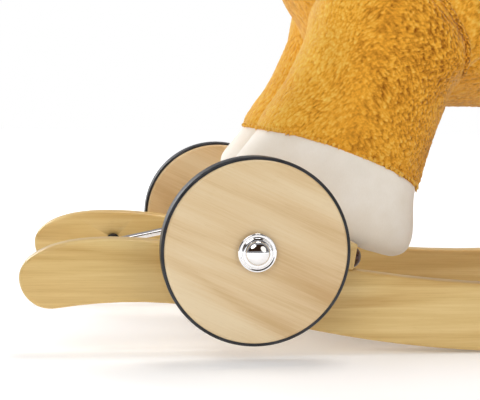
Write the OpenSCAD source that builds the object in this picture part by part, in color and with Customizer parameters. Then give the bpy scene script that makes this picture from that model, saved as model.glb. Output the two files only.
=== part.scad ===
// Plush rocking horse on wooden rockers, with two fold-over wheel frames.
// The horse faces -X. Millimetres, +Z up, z = 0 is the floor under the rockers.

/* [Rockers] */
// Radius of the rolling part of the rocker
roll_r = 820; // [760:10:900]
// Thickness of each rocker
rocker_t = 18; // [15:1:22]
// Distance between the outer faces of the rockers
rocker_span = 216; // [206:1:220]
// Slope of the straight stretch on top, in degrees
top_slope = 8.6; // [8:0.1:9]

/* [Cross boards] */
// Length of a cross board along the horse
board_l = 60; // [54:1:62]
// Thickness of a cross board
board_t = 18; // [15:1:20]
// Distance of a cross board's middle from the centre
board_x = 166.8; // [163:0.2:167]

/* [Wheel frames] */
// Distance of the frame pivots from the centre
pivot_x = 296; // [292:1:298]
// Height of the frame pivots
pivot_z = 55; // [53:1:57]
// Diameter of the bent arm rod
arm_d = 6; // [5:0.5:7]
// Distance of each arm from the middle plane
arm_y = 80; // [78:1:81]
// Distance of the axles from the centre, wheels up
axle_x = 207.4; // [206:0.2:212]
// Diameter of the axle rod
axle_d = 8; // [7:0.5:9]
// Outer diameter of the axle sleeves that rest on the rockers
sleeve_d = 11; // [11:0.5:14]

/* [Wheels] */
// Diameter over the tyre
wheel_d = 123; // [110:1:124]
// Thickness of the wooden disc
wheel_w = 22; // [18:1:24]
// Thickness of the tyre band
tyre_t = 2.1; // [1.5:0.1:3]
// Distance between the outer faces of a pair of wheels
track = 280; // [276:1:290]

/* [Plush horse] */
// Distance of each leg from the middle plane
leg_y = 42; // [42:0.5:43]
// Lean of the legs, in degrees
leg_lean = 19.7; // [19:0.1:20]
// Height of the barrel's axis
barrel_z = 248; // [246:1:250]
// Radius of the barrel
barrel_r = 80; // [78:1:81]
// Length of the wooden handle
handle_l = 250; // [230:5:260]
// Diameter of the wooden handle
handle_d = 22; // [20:1:24]

/* [Hidden] */
$fn = 48;

gap = 0.3;                       // space left between soft bodies
front = 1;                       // side values: the front is as drawn, the rear is mirrored
rear = -1;
left = -1;                       // the horse's left side is at -Y
right = 1;

// ---- rocker outline: a chain of tangent arcs from the bottom middle round the front tip ----
roll_angle = 14.5;
scoop_r = 320;
toe_angle = 9;
crown_r = 309;
saddle_r = 850;                  // hollow arc at the middle of the top edge
tip_arcs = [
  [roll_r, -roll_angle], [scoop_r, roll_angle + toe_angle], [21, -90 - toe_angle],
  [15.5, -50], [46, -21], [90, -12], [170, -7], [crown_r, -top_slope]
];
arc_steps = [10, 9, 14, 7, 4, 3, 3, 4];

// Points along one arc: from p, heading h, turning by t degrees with radius r in n steps
function side(t) = t < 0 ? -1 : 1;
function arc_point(p, h, r, t, a) =
  p + side(t) * r * [sin(h + a) - sin(h), cos(h) - cos(h + a)];
function arc_points(p, h, r, t, n) = [for (i = [1:n]) arc_point(p, h, r, t, t * i / n)];
function chain(p, h, i) =
  i == len(tip_arcs) ? [] :
  let (r = tip_arcs[i][0], t = tip_arcs[i][1])
  concat(arc_points(p, h, r, t, arc_steps[i]), chain(arc_point(p, h, r, t, t), h + t, i + 1));

tip_chain = chain([0, 0], 180, 0);
crown_end = tip_chain[len(tip_chain) - 1];
hollow_x = saddle_r * sin(top_slope);
function top_line(x) = crown_end[1] - (x - crown_end[0]) * tan(top_slope);
hollow_start = [-hollow_x, top_line(-hollow_x)];
front_half = concat(
  [[0, 0]], tip_chain, [hollow_start], arc_points(hollow_start, -top_slope, saddle_r, top_slope, 5)
);
rear_half = [for (i = [len(front_half) - 2:-1:1]) [-front_half[i][0], front_half[i][1]]];
outline = concat(front_half, rear_half);

rocker_y = rocker_span / 2;
rocker_in = rocker_y - rocker_t;
bush_d = 9.6;
bush_l = 15;
pilot_d = 4;
run = 0.05;                      // radial running clearance

board_z = top_line(-board_x);
board_screw_y = rocker_y - rocker_t / 2;
board_screw_x = 18;
cap_y = 80.8;
cap_z = 6.2;
cap_r = 8.6;

// Children in the frame of a cross board: origin at the middle of its underside
module on_board(end) {
  mirror([end == rear ? 1 : 0, 0, 0])
    translate([-board_x, 0, board_z])
      rotate([0, top_slope, 0])
        children();
}

module both_ends() {
  for (end = [front, rear]) mirror([end == rear ? 1 : 0, 0, 0]) children();
}

module both_sides() {
  for (s = [left, right]) mirror([0, s == left ? 1 : 0, 0]) children();
}

module along_y(d, y0, y1) {
  translate([0, y0, 0]) rotate([-90, 0, 0]) cylinder(d = d, h = y1 - y0);
}

// ---- wooden rockers and boards ----
module rocker_form() {
  difference() {
    translate([0, rocker_y, 0]) rotate([90, 0, 0]) linear_extrude(rocker_t) polygon(outline);
    both_ends() translate([-pivot_x, 0, pivot_z]) along_y(bush_d, rocker_in - 1, rocker_in + bush_l);
    for (end = [front, rear]) on_board(end)
      for (x = [-board_screw_x, board_screw_x])
        translate([x, board_screw_y, -30]) cylinder(d = pilot_d, h = 40);
  }
}

module rocker(s) color("burlywood") mirror([0, s == left ? 1 : 0, 0]) rocker_form();

leg_bolt_d = 6;
leg_bolt_l = 50;
core_d = 28;
core_foot_x = 11.6;               // foot of a leg core from the board's middle

module at_board_screws() {
  both_sides() for (x = [-board_screw_x, board_screw_x]) translate([x, board_screw_y, 0]) children();
}

module cross_board(end) {
  color("wheat") on_board(end) difference() {
    translate([-board_l / 2, -rocker_y, 0.02]) cube([board_l, rocker_span, board_t]);
    at_board_screws() {
      translate([0, 0, -1]) cylinder(d = pilot_d, h = board_t + 2);
      translate([0, 0, board_t - 2.48]) cylinder(d1 = pilot_d, d2 = 9, h = 2.5);
    }
    both_sides() translate([core_foot_x, leg_y, -1]) cylinder(d = leg_bolt_d, h = board_t + 2);
    both_sides() translate([board_l / 2 - 22, cap_y, cap_z]) rotate([0, 90, 0]) cylinder(d = 5, h = 40);
  }
}

module board_screws() {
  color("silver") for (end = [front, rear]) on_board(end) at_board_screws() {
    translate([0, 0, -28]) cylinder(d = pilot_d, h = 28 + board_t - 2);
    translate([0, 0, board_t - 2.48]) cylinder(d1 = pilot_d, d2 = 9, h = 2.5);
  }
}

module board_edge_screws() {
  color("silver") for (end = [front, rear]) on_board(end) both_sides()
    translate([board_l / 2, cap_y, cap_z]) rotate([0, 90, 0]) {
      translate([0, 0, -20]) cylinder(d = 5, h = 20.5);
      cylinder(d = 9, h = 3);
    }
}

module board_caps() {
  color("saddlebrown") for (end = [front, rear]) on_board(end) both_sides()
    translate([board_l / 2, cap_y, cap_z]) rotate([0, 90, 0]) difference() {
      union() {
        cylinder(r = cap_r, h = 1.4);
        translate([0, 0, 1.2]) intersection() {
          sphere(r = cap_r);
          cylinder(r = cap_r + 1, h = cap_r + 1);
        }
      }
      translate([0, 0, -1]) cylinder(d = 9, h = 4);
    }
}

module pivot_bushes() {
  color("black") both_ends() both_sides() translate([-pivot_x, 0, pivot_z]) difference() {
    union() {
      along_y(bush_d, rocker_in, rocker_in + bush_l);
      along_y(bush_d + 1.6, rocker_in - 1.2, rocker_in);
    }
    along_y(arm_d + 2 * run, rocker_in - 3, rocker_in + bush_l - 1.5);
  }
}

// ---- fold-over wheel frames ----
rest_gap = 0.05;
axle_z = top_line(-axle_x) + (sleeve_d / 2 + rest_gap) / cos(top_slope);
wheel_out = track / 2;
wheel_in = wheel_out - wheel_w;
axle_end = wheel_out + 4;
arm_run = axle_x - pivot_x;
arm_angle = atan2(axle_z - pivot_z, -arm_run);
arm_l = sqrt(pow(arm_run, 2) + pow(axle_z - pivot_z, 2));
bend_r = 7;
eye_d = 14;
eye_w = 6;
washer_t = 1.2;
sleeve_in = arm_y + eye_w / 2;
sleeve_out = wheel_in - gap - washer_t;

module at_axle(end) {
  mirror([end == rear ? 1 : 0, 0, 0]) translate([-axle_x, 0, axle_z]) children();
}

module axle(end) color("silver") at_axle(end) along_y(axle_d, -axle_end, axle_end);

// One arm: a pivot stub in the rocker, a bend, a straight rod and an eye round the axle
module arm_form() {
  translate([-pivot_x, 0, pivot_z]) rotate([0, -arm_angle, 0]) difference() {
    union() {
      along_y(arm_d, arm_y + bend_r, rocker_in + bush_l - 2);
      translate([bend_r, arm_y + bend_r, 0]) rotate([0, 0, 180])
        rotate_extrude(angle = 90) translate([bend_r, 0]) circle(d = arm_d);
      translate([bend_r, arm_y, 0]) rotate([0, 90, 0]) cylinder(d = arm_d, h = arm_l - bend_r - 5);
      translate([arm_l, 0, 0]) along_y(eye_d, arm_y - eye_w / 2, arm_y + eye_w / 2);
    }
    translate([arm_l, 0, 0]) along_y(axle_d, arm_y - eye_w, arm_y + eye_w);
  }
}

module arm(end, s) {
  color("silver") mirror([end == rear ? 1 : 0, 0, 0]) mirror([0, s == left ? 1 : 0, 0]) arm_form();
}

module ring(d_out, d_in, y0, y1) {
  difference() {
    along_y(d_out, y0, y1);
    along_y(d_in, y0 - 1, y1 + 1);
  }
}

module sleeves(end) color("dimgray") at_axle(end) both_sides() ring(sleeve_d, axle_d, sleeve_in, sleeve_out);

module washers(end) {
  color("silver") at_axle(end) both_sides() {
    ring(20, axle_d, sleeve_out, sleeve_out + washer_t);
    ring(20, axle_d, wheel_out + gap, wheel_out + gap + washer_t);
  }
}

cap_d = 25.4;
cap_dome_r = 8;
cap_base = wheel_out + gap + washer_t;

// Pressed steel push cap: a stepped rim and a dome over the end of the axle
module hub_caps(end) {
  color("gainsboro") at_axle(end) both_sides() difference() {
    translate([0, cap_base, 0]) rotate([-90, 0, 0]) rotate_extrude() polygon([
      [0, 0], [cap_d / 2, 0], [cap_d / 2, 1.2], [cap_d / 2 - 1.4, 2], [9.6, 1.8], [9, 2.8],
      [cap_dome_r, 3], for (a = [10:10:90]) [cap_dome_r * cos(a), 3 + 4.2 * sin(a)]
    ]);
    along_y(axle_d, wheel_out - 1, axle_end);
  }
}

module wheel(end, s) {
  wood_d = wheel_d - 2 * tyre_t;
  bevel = 1.5;
  color("navajowhite") at_axle(end) mirror([0, s == left ? 1 : 0, 0])
    translate([0, wheel_in, 0]) rotate([-90, 0, 0]) difference() {
      rotate_extrude($fn = 96) polygon([
        [0, 0], [wood_d / 2 - bevel, 0], [wood_d / 2, bevel],
        [wood_d / 2, wheel_w - bevel], [wood_d / 2 - bevel, wheel_w], [0, wheel_w]
      ]);
      translate([0, 0, -1]) cylinder(r = axle_d / 2 + run, h = wheel_w + 2);
    }
}

module tyre(end, s) {
  color("black") at_axle(end) mirror([0, s == left ? 1 : 0, 0])
    ring(wheel_d, wheel_d - 2 * tyre_t, wheel_in + 1.5, wheel_out - 1.5, $fn = 96);
}

// ---- hidden wooden frame of the horse ----
spine_z = 228;
spine_t = 18;
spine_l = 250;
spine_w = 112;
lean_tan = tan(leg_lean);
core_foot = [-board_x + core_foot_x * cos(top_slope), 0, board_z + board_t - 1];
core_top_x = core_foot[0] + (spine_z - core_foot[2]) * lean_tan;
neck_foot = [-92, 0, spine_z + spine_t];
neck_lean = -20.8;
neck_l = 238;
handle_at = 212;                 // distance of the handle up the neck core
neck_bolt_l = 60;

// Children on the axis of a leg core, standing on the board, +Z up the leg
module on_leg_axis(end, s) {
  mirror([end == rear ? 1 : 0, 0, 0]) translate([core_foot[0], s * leg_y, core_foot[2]])
    rotate([0, leg_lean, 0]) children();
}

module core_rod(end, s, d) on_leg_axis(end, s) translate([0, 0, -12]) cylinder(d = d, h = 175);

module leg_core(end, s) {
  color("tan") difference() {
    core_rod(end, s, core_d);
    on_board(end) translate([-60, -150, -60]) cube([120, 300, 60 + board_t + 0.05]);
    on_board(end) translate([core_foot_x, s * leg_y, 0]) cylinder(d = leg_bolt_d, h = leg_bolt_l);
    translate([-200, -150, spine_z - 0.05]) cube([400, 300, 60]);
    at_core_screw(end, s) cylinder(d = 5, h = 60);
  }
}

// Children at the top of a leg core, on the spine board's underside, +Z downwards
module at_core_screw(end, s) {
  mirror([end == rear ? 1 : 0, 0, 0]) translate([core_top_x, s * leg_y, spine_z]) rotate([180, 0, 0])
    translate([0, 0, -spine_t - 4]) children();
}

module core_screws() {
  color("silver") for (end = [front, rear], s = [left, right]) at_core_screw(end, s) {
    cylinder(d = 10, h = 4);
    translate([0, 0, 3]) cylinder(d = 5, h = 45);
  }
}

module leg_bolts() {
  color("silver") for (end = [front, rear]) on_board(end) both_sides() translate([core_foot_x, leg_y, 0]) {
    cylinder(d = leg_bolt_d, h = leg_bolt_l - 1);
    translate([0, 0, -5]) cylinder(d = 13, h = 5);
  }
}

module spine_board() {
  color("tan") difference() {
    translate([-spine_l / 2, -spine_w / 2, spine_z]) cube([spine_l, spine_w, spine_t]);
    for (end = [front, rear], s = [left, right]) at_core_screw(end, s) cylinder(d = 5, h = 30);
    at_neck_bolt() cylinder(d = leg_bolt_d, h = 60);
  }
}

module on_neck_axis() translate(neck_foot) rotate([0, neck_lean, 0]) children();
module at_neck_bolt() translate([neck_foot[0], 0, spine_z]) children();
module neck_rod(d) on_neck_axis() translate([0, 0, -10]) cylinder(d = d, h = neck_l + 10);
module handle_rod(d, l) on_neck_axis() translate([0, 0, handle_at]) along_y(d, -l / 2, l / 2);

module neck_core() {
  color("tan") difference() {
    neck_rod(core_d + 6);
    translate([-200, -100, spine_z]) cube([200, 200, spine_t + 0.05]);
    handle_rod(handle_d, 100);
    at_neck_bolt() cylinder(d = leg_bolt_d, h = neck_bolt_l);
  }
}

module neck_bolt() {
  color("silver") at_neck_bolt() {
    cylinder(d = leg_bolt_d, h = neck_bolt_l - 1);
    translate([0, 0, -5]) cylinder(d = 14, h = 5);
  }
}

module handle_bar() {
  color("burlywood") difference() {
    handle_rod(handle_d, handle_l);
    on_neck_axis() translate([0, 0, handle_at]) both_sides() translate([0, handle_l / 2 - 1, 0])
      ring(handle_d + 4, handle_d - 2, 0, 3);
  }
}

// ---- soft bodies, plain closed forms ----
chest = [-93, 0, 285];
chest_r = 88;
rump = [88, 0, 262];
rump_r = 86;
barrel_half = 82;

// The barrel with the chest and the rump, grown outwards by g
module body_form(g) {
  r = barrel_r + g;
  translate([0, 0, barrel_z]) rotate([0, 90, 0]) rotate_extrude() polygon([
    [0, -barrel_half - r], for (a = [-80:10:0]) [r * cos(a), -barrel_half + r * sin(a)],
    for (a = [0:10:80]) [r * cos(a), barrel_half + r * sin(a)], [0, barrel_half + r]
  ]);
  translate(chest) sphere(r = chest_r + g);
  translate(rump) sphere(r = rump_r + g);
}

hem_up = 54;                     // the hem between hoof and fur, along the leg from the board
hem_half = [63, 39];             // half widths of the leg at the hem, along x and y
knee_half = [58, 38.5];
hip_half = [62, 39];
hoof_half = [72, 41.4];
heel_half = [56, 34];            // outline just above the sole
heel_at = [16, 8];               // its shift to the rear and its height up the leg
sole_half = [50, 32];
sole_shift = 10;

module oval(half, h) scale([half[0], half[1], 1]) cylinder(r = 1, h = h, $fn = 32);

module leg_form(end, s) {
  hull() {
    on_leg_axis(end, s) translate([0, 0, hem_up + gap]) oval(hem_half, 1);
    on_leg_axis(end, s) translate([2, 0, hem_up + 50]) oval(knee_half, 1);
    on_leg_axis(end, s) translate([6, 0, hem_up + 105]) oval(hip_half, 1);
  }
}

module hoof_form(end, s) {
  hull() {
    on_leg_axis(end, s) translate([0, 0, hem_up - 1]) oval(hem_half, 1);
    on_leg_axis(end, s) translate([0, 0, hem_up - 28]) oval(hoof_half, 1);
    on_leg_axis(end, s) translate([heel_at[0], 0, heel_at[1]]) oval(heel_half, 1);
    on_leg_axis(end, s) translate([sole_shift, 0, 0]) oval(sole_half, 1);
  }
}

module leg_plush(end, s) {
  color("goldenrod") difference() {
    leg_form(end, s);
    body_form(gap);
    core_rod(end, s, core_d);
  }
}

module hoof(end, s) {
  color("whitesmoke") difference() {
    hoof_form(end, s);
    core_rod(end, s, core_d);
    on_board(end) translate([-80, -150, -60]) cube([80 + board_l / 2 + gap, 300, 60 + board_t + gap]);
  }
}

module body_plush() {
  color("goldenrod") difference() {
    body_form(0);
    translate([-spine_l / 2, -spine_w / 2, spine_z - 5]) cube([spine_l, spine_w, spine_t + 9]);
    for (end = [front, rear], s = [left, right]) core_rod(end, s, core_d);
    neck_rod(core_d + 6);
  }
}

neck_low = [-108, 0, 330];
neck_low_r = 66;
neck_top = [-160, 0, 430];
neck_top_r = 48;
poll = [-190, 0, 490];
poll_r = 52;
brow = [-246, 0, 458];
brow_r = 42;
nose = [-284, 0, 428];
nose_r = 36;
lip = [-300, 0, 413];
lip_r = 33;
head_dip = atan2(poll[2] - brow[2], poll[0] - brow[0]);
ball_fn = 24;

module ball(p, r) translate(p) sphere(r = r, $fn = ball_fn);

module head_form(g) {
  hull() {
    ball(poll, poll_r + g);
    ball(brow, brow_r + g);
  }
}

module neck_head_form(g) {
  head_form(g);
  hull() {
    ball(neck_low, neck_low_r + g);
    ball(neck_top, neck_top_r + g);
  }
  hull() {
    ball(neck_top, neck_top_r + g);
    ball(poll, poll_r + g);
  }
}

module neck_head_plush() {
  color("goldenrod") difference() {
    neck_head_form(0);
    body_form(gap);
    neck_rod(core_d + 6);
    handle_rod(handle_d, 200);
  }
}

module muzzle_plush() {
  color("whitesmoke") difference() {
    hull() {
      ball(nose, nose_r);
      ball(lip, lip_r);
    }
    head_form(gap);
  }
}

module ear(s) {
  color("goldenrod") difference() {
    hull() {
      ball([-172, s * 34, 534], 13);
      ball([-176, s * 40, 560], 12);
      ball([-184, s * 42, 592], 4);
    }
    neck_head_form(gap);
  }
}

eye_r = 9;

module eyes() {
  color("black") both_sides() difference() {
    translate([-222, 38.5, 492]) sphere(r = eye_r);
    head_form(0.05);
  }
}

mane_path = [
  [-58, 388, 14], [-92, 424, 18], [-118, 466, 20], [-134, 512, 19], [-176, 550, 15], [-216, 540, 13], [-238, 514, 9]
];

module mane_plush() {
  color("white") difference() {
    for (i = [0:len(mane_path) - 2]) hull() for (j = [i, i + 1])
      translate([mane_path[j][0], 0, mane_path[j][1]]) sphere(r = mane_path[j][2], $fn = 16);
    neck_head_form(3.3);
    body_form(3.3);
  }
}

tail_path = [[172, 296, 14], [212, 276, 19], [236, 228, 24], [242, 184, 18], [243, 163, 9]];

module tail_plush() {
  color("white") difference() {
    for (i = [0:len(tail_path) - 2]) hull() for (j = [i, i + 1])
      translate([tail_path[j][0], 0, tail_path[j][1]]) sphere(r = tail_path[j][2], $fn = 16);
    body_form(gap);
  }
}

// ---- tack ----
blanket_t = 3;
seat_t = 16;
blanket_x = [-44, 45];
seat_x = [-34, 43];
girth_x = [-8, 22];
blanket_low = 214;
seat_low = 292;

// A layer of the body between two offsets, cut to a range of x and above a height
module body_layer(g0, g1, x, low, high) {
  intersection() {
    difference() {
      body_form(g1);
      body_form(g0);
    }
    translate([x[0], -150, low]) cube([x[1] - x[0], 300, high - low]);
  }
}

module saddle_blanket() color("saddlebrown") body_layer(gap, gap + blanket_t, blanket_x, blanket_low, 420);

module saddle_seat() {
  color("sienna") body_layer(2 * gap + blanket_t, 2 * gap + blanket_t + seat_t, seat_x, seat_low, 420);
}

module girth_strap() color("saddlebrown") body_layer(gap, gap + blanket_t, girth_x, 120, blanket_low - gap);

module bridle() {
  color("saddlebrown") intersection() {
    difference() {
      head_form(3);
      head_form(gap);
      neck_top_clear();
    }
    translate(poll) rotate([0, 180 - head_dip, 0]) {
      translate([-10, -100, -100]) cube([12, 200, 200]);
      translate([56, -100, -100]) cube([12, 200, 200]);
      translate([-4, -100, 12]) cube([66, 200, 12]);
    }
  }
}

// Keeps the throat band clear of the neck
module neck_top_clear() hull() {
  ball(neck_top, neck_top_r + gap);
  ball(poll, poll_r + gap);
}

rocker(left);  // rocker_left
rocker(right);  // rocker_right
cross_board(front);  // front_cross_board
cross_board(rear);  // rear_cross_board
board_screws();
board_edge_screws();
board_caps();
pivot_bushes();
axle(front);  // front_axle
arm(front, left);  // front_arm_left
arm(front, right);  // front_arm_right
sleeves(front);  // front_sleeves
washers(front);  // front_washers
hub_caps(front);  // front_hub_caps
wheel(front, left);  // front_wheel_left
wheel(front, right);  // front_wheel_right
tyre(front, left);  // front_tyre_left
tyre(front, right);  // front_tyre_right
axle(rear);  // rear_axle
arm(rear, left);  // rear_arm_left
arm(rear, right);  // rear_arm_right
sleeves(rear);  // rear_sleeves
washers(rear);  // rear_washers
hub_caps(rear);  // rear_hub_caps
wheel(rear, left);  // rear_wheel_left
wheel(rear, right);  // rear_wheel_right
tyre(rear, left);  // rear_tyre_left
tyre(rear, right);  // rear_tyre_right
leg_bolts();
core_screws();
spine_board();
neck_core();
neck_bolt();
leg_core(front, left);  // front_core_left
leg_core(front, right);  // front_core_right
leg_core(rear, left);  // rear_core_left
leg_core(rear, right);  // rear_core_right
hoof(front, left);  // front_hoof_left
hoof(front, right);  // front_hoof_right
hoof(rear, left);  // rear_hoof_left
hoof(rear, right);  // rear_hoof_right
leg_plush(front, left);  // front_leg_left
leg_plush(front, right);  // front_leg_right
leg_plush(rear, left);  // rear_leg_left
leg_plush(rear, right);  // rear_leg_right
body_plush();
neck_head_plush();
muzzle_plush();
ear(left);  // ear_left
ear(right);  // ear_right
eyes();
mane_plush();
tail_plush();
handle_bar();
saddle_blanket();
saddle_seat();
girth_strap();
bridle();
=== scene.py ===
"""A plush rocking horse on wooden rockers with fold-over wheel frames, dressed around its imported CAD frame.

The horse faces -X and its left side is at -Y. Lengths in this script are millimetres until a mesh is made.
"""

import itertools
import math

import bmesh
import bpy
import numpy as np
from mathutils import Matrix, Vector
from mathutils.bvhtree import BVHTree


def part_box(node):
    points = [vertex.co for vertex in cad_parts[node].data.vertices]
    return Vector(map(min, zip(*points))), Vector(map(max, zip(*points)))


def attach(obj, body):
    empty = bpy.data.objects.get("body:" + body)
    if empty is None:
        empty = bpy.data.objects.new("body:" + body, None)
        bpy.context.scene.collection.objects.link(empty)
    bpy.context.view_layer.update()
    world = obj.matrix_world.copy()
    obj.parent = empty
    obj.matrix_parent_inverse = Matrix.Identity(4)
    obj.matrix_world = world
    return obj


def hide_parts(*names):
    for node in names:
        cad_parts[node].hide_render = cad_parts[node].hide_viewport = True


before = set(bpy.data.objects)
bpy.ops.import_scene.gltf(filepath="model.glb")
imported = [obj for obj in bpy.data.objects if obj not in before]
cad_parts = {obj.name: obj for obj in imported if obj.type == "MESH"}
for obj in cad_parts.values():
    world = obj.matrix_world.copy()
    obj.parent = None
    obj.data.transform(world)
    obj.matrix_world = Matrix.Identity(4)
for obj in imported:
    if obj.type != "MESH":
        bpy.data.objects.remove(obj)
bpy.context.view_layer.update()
scene = bpy.context.scene

MM = 0.001
SIDES = {"left": -1, "right": 1}
ENDS = {"front": -1, "rear": 1}

# ---- places taken from the frame, in millimetres ----


def node_box(node):
    """Lowest and highest corner of a CAD node at rest, as arrays."""
    low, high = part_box(node)
    return np.array(low) / MM, np.array(high) / MM


ROCKER_LOW = node_box("rocker_left")[0]
AXLE_LOW, AXLE_HIGH = node_box("front_axle")
AXLE_X = -(AXLE_LOW[0] + AXLE_HIGH[0]) / 2
AXLE_Z = (AXLE_LOW[2] + AXLE_HIGH[2]) / 2
WHEEL_LOW, WHEEL_HIGH = node_box("front_wheel_right")
TYRE_LOW, TYRE_HIGH = node_box("front_tyre_right")
CORE_LOW, CORE_HIGH = node_box("front_core_right")
LEG_Y = (CORE_LOW[1] + CORE_HIGH[1]) / 2

# ---- sizes of the soft parts, as in the design ----
LEG_LEAN = math.radians(19.7)
LEG_FOOT = np.array([-155.33, 0.0, 79.02])
LEG_UP = np.array([math.sin(LEG_LEAN), 0.0, math.cos(LEG_LEAN)])
LEG_BACK = np.array([math.cos(LEG_LEAN), 0.0, -math.sin(LEG_LEAN)])
BOARD_TILT = math.radians(8.6)
BOARD_MIDDLE = np.array([-166.8, 0.0, 62.02])
BOARD_HALF = 30.0
BOARD_T = 18.0
PIVOT = np.array([-296.0, 0.0, 55.0])
SWING_R = 101.0                      # clear radius round the pivot for the folding axle
BARREL_Z = 248.0
BARREL_R = 80.0
BARREL_HALF = 82.0
CHEST = (-93.0, 0.0, 285.0)
CHEST_R = 88.0
RUMP = (88.0, 0.0, 262.0)
RUMP_R = 86.0


# ==== meshes ====

def linked(name, data):
    """A new object in the scene."""
    obj = bpy.data.objects.new(name, data)
    scene.collection.objects.link(obj)
    return obj


def add_mesh(name, points, faces):
    """A new smooth object from points in millimetres."""
    mesh = bpy.data.meshes.new(name)
    mesh.from_pydata((np.asarray(points, float) * MM).tolist(), [], faces)
    mesh.polygons.foreach_set("use_smooth", [True] * len(mesh.polygons))
    mesh.update()
    return linked(name, mesh)


def built(name, bm):
    """A new object from a bmesh, which is freed."""
    mesh = bpy.data.meshes.new(name)
    bm.to_mesh(mesh)
    bm.free()
    return linked(name, mesh)


def points_of(obj):
    """The mesh's points in millimetres."""
    co = np.zeros(len(obj.data.vertices) * 3)
    obj.data.vertices.foreach_get("co", co)
    return co.reshape(-1, 3) / MM


def move_points(obj, points):
    obj.data.vertices.foreach_set("co", (points * MM).ravel())
    obj.data.update()


def normals_of(obj):
    out = np.zeros(len(obj.data.vertices) * 3)
    obj.data.vertices.foreach_get("normal", out)
    return out.reshape(-1, 3)


def swell(obj, rise):
    """Moves each point out of the skin by its rise in millimetres."""
    move_points(obj, points_of(obj) + normals_of(obj) * rise[:, None])


def apply_modifiers(obj):
    """Bakes the modifiers into the mesh."""
    graph = bpy.context.evaluated_depsgraph_get()
    mesh = bpy.data.meshes.new_from_object(obj.evaluated_get(graph))
    obj.modifiers.clear()
    obj.data = mesh
    return obj


def subdivide(obj, levels):
    """Splits the faces and smooths the mesh between them."""
    mod = obj.modifiers.new("subdivide", "SUBSURF")
    mod.levels = levels
    return apply_modifiers(obj)


def outwards(obj, gap=None):
    """Turns every face outwards, and first joins points closer than a gap in millimetres."""
    bm = bmesh.new()
    bm.from_mesh(obj.data)
    if gap:
        bmesh.ops.remove_doubles(bm, verts=bm.verts, dist=gap * MM)
    bmesh.ops.recalc_face_normals(bm, faces=bm.faces)
    bm.to_mesh(obj.data)
    bm.free()
    obj.data.update()
    return obj


def sharpen(obj, degrees=35):
    """Smooth shading with crisp edges where faces meet at more than this angle."""
    obj.data.polygons.foreach_set("use_smooth", [True] * len(obj.data.polygons))
    obj.data.set_sharp_from_angle(angle=math.radians(degrees))
    return obj


def joined(name, objs):
    """One object from several, whose meshes stay separate shells."""
    bm = bmesh.new()
    for obj in objs:
        bm.from_mesh(obj.data)
        bpy.data.objects.remove(obj)
    return built(name, bm)


def mirrored(obj, mirror):
    """The same object, mirrored where a factor is -1."""
    move_points(obj, points_of(obj) * np.array(mirror, float))
    if np.prod(mirror) < 0:
        obj.data.flip_normals()
    return obj


def copied(obj, name, mirror=(1, 1, 1)):
    """A copy of a piece, mirrored where a factor is -1."""
    mesh = obj.data.copy()
    mesh.name = name
    return mirrored(linked(name, mesh), mirror)


def smooth_keys(keys, per_span):
    """Rows between the key rows, along a Catmull-Rom curve."""
    rows = np.array(keys, float)
    padded = np.vstack([2 * rows[0] - rows[1], rows, 2 * rows[-1] - rows[-2]])
    out = []
    for i in range(len(rows) - 1):
        a, b, c, d = padded[i:i + 4]
        for k in range(per_span):
            t = k / per_span
            out.append(0.5 * (2 * b + (c - a) * t + (2 * a - 5 * b + 4 * c - d) * t ** 2
                              + (3 * b - a - 3 * c + d) * t ** 3))
    out.append(rows[-1])
    return np.array(out)


def travelled(rows):
    """Distance along a curve at each of its rows, by the first three columns."""
    steps = np.linalg.norm(np.diff(rows[:, :3], axis=0), axis=1)
    return np.concatenate([[0], np.cumsum(steps)])


def spots_along(rows, at, spots):
    """Rows of a curve at given distances along it."""
    return np.column_stack([np.interp(spots, at, column) for column in rows.T])


def resample(rows, count):
    """The same curve of rows, evenly spaced."""
    at = travelled(rows)
    return spots_along(rows, at, np.linspace(0, at[-1], count))


def circle(count):
    """Evenly spaced angles once round."""
    return np.linspace(0, 2 * math.pi, count, endpoint=False)


def skin(name, rings, closed=True):
    """A surface through rings of equal length, with a fan over each end if closed."""
    count = len(rings[0])
    points = [p for ring in rings for p in ring]
    faces = []
    for i in range(len(rings) - 1):
        for k in range(count):
            n = (k + 1) % count
            faces.append((i * count + k, i * count + n, (i + 1) * count + n, (i + 1) * count + k))
    if closed:
        for i, turn in ((0, -1), (len(rings) - 1, 1)):
            centre = len(points)
            points.append(np.mean(rings[i], axis=0))
            for k in range(count):
                edge = (i * count + k, i * count + (k + 1) % count)
                faces.append((centre,) + edge[::turn])
    return outwards(add_mesh(name, points, faces))


def turned_rings(profile, place_point, steps):
    """Rings of a turned piece.

    profile is (distance along the axis, radius), and place_point maps (along, a, b) to a point.
    """
    angles = [2 * math.pi * k / steps for k in range(steps)]
    return [[place_point(along, radius * math.cos(a), radius * math.sin(a)) for a in angles]
            for along, radius in profile]


def lathe(name, profile, place_point, steps):
    """A solid turned piece."""
    return skin(name, turned_rings(profile, place_point, steps))


def ring_skin(name, profile, place_point, steps=128):
    """A turned ring whose profile is a closed loop, such as a tyre."""
    rings = turned_rings(list(profile) + [profile[0]], place_point, steps)
    return outwards(skin(name, rings, closed=False), 0.005)


def tube(name, path, radius, sides=10, closed_path=False, taper=None):
    """A round tube along points, with its ends closed unless the path is a loop."""
    path = np.asarray(path, float)
    count = len(path)
    tangents = np.gradient(path, axis=0)
    if closed_path:
        tangents = np.roll(path, -1, axis=0) - np.roll(path, 1, axis=0)
    tangents /= np.linalg.norm(tangents, axis=1)[:, None]
    side = np.cross(tangents[0], [0.31, 0.87, 0.38])
    rings = []
    for i in range(count):
        side = side - tangents[i] * (side @ tangents[i])
        side /= np.linalg.norm(side)
        other = np.cross(tangents[i], side)
        r = radius * (taper[i] if taper is not None else 1)
        angles = [2 * math.pi * k / sides for k in range(sides)]
        rings.append([path[i] + r * (math.cos(a) * side + math.sin(a) * other) for a in angles])
    if closed_path:
        rings.append(rings[0])
        return outwards(skin(name, rings, closed=False), 0.01)
    return skin(name, rings)


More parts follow.
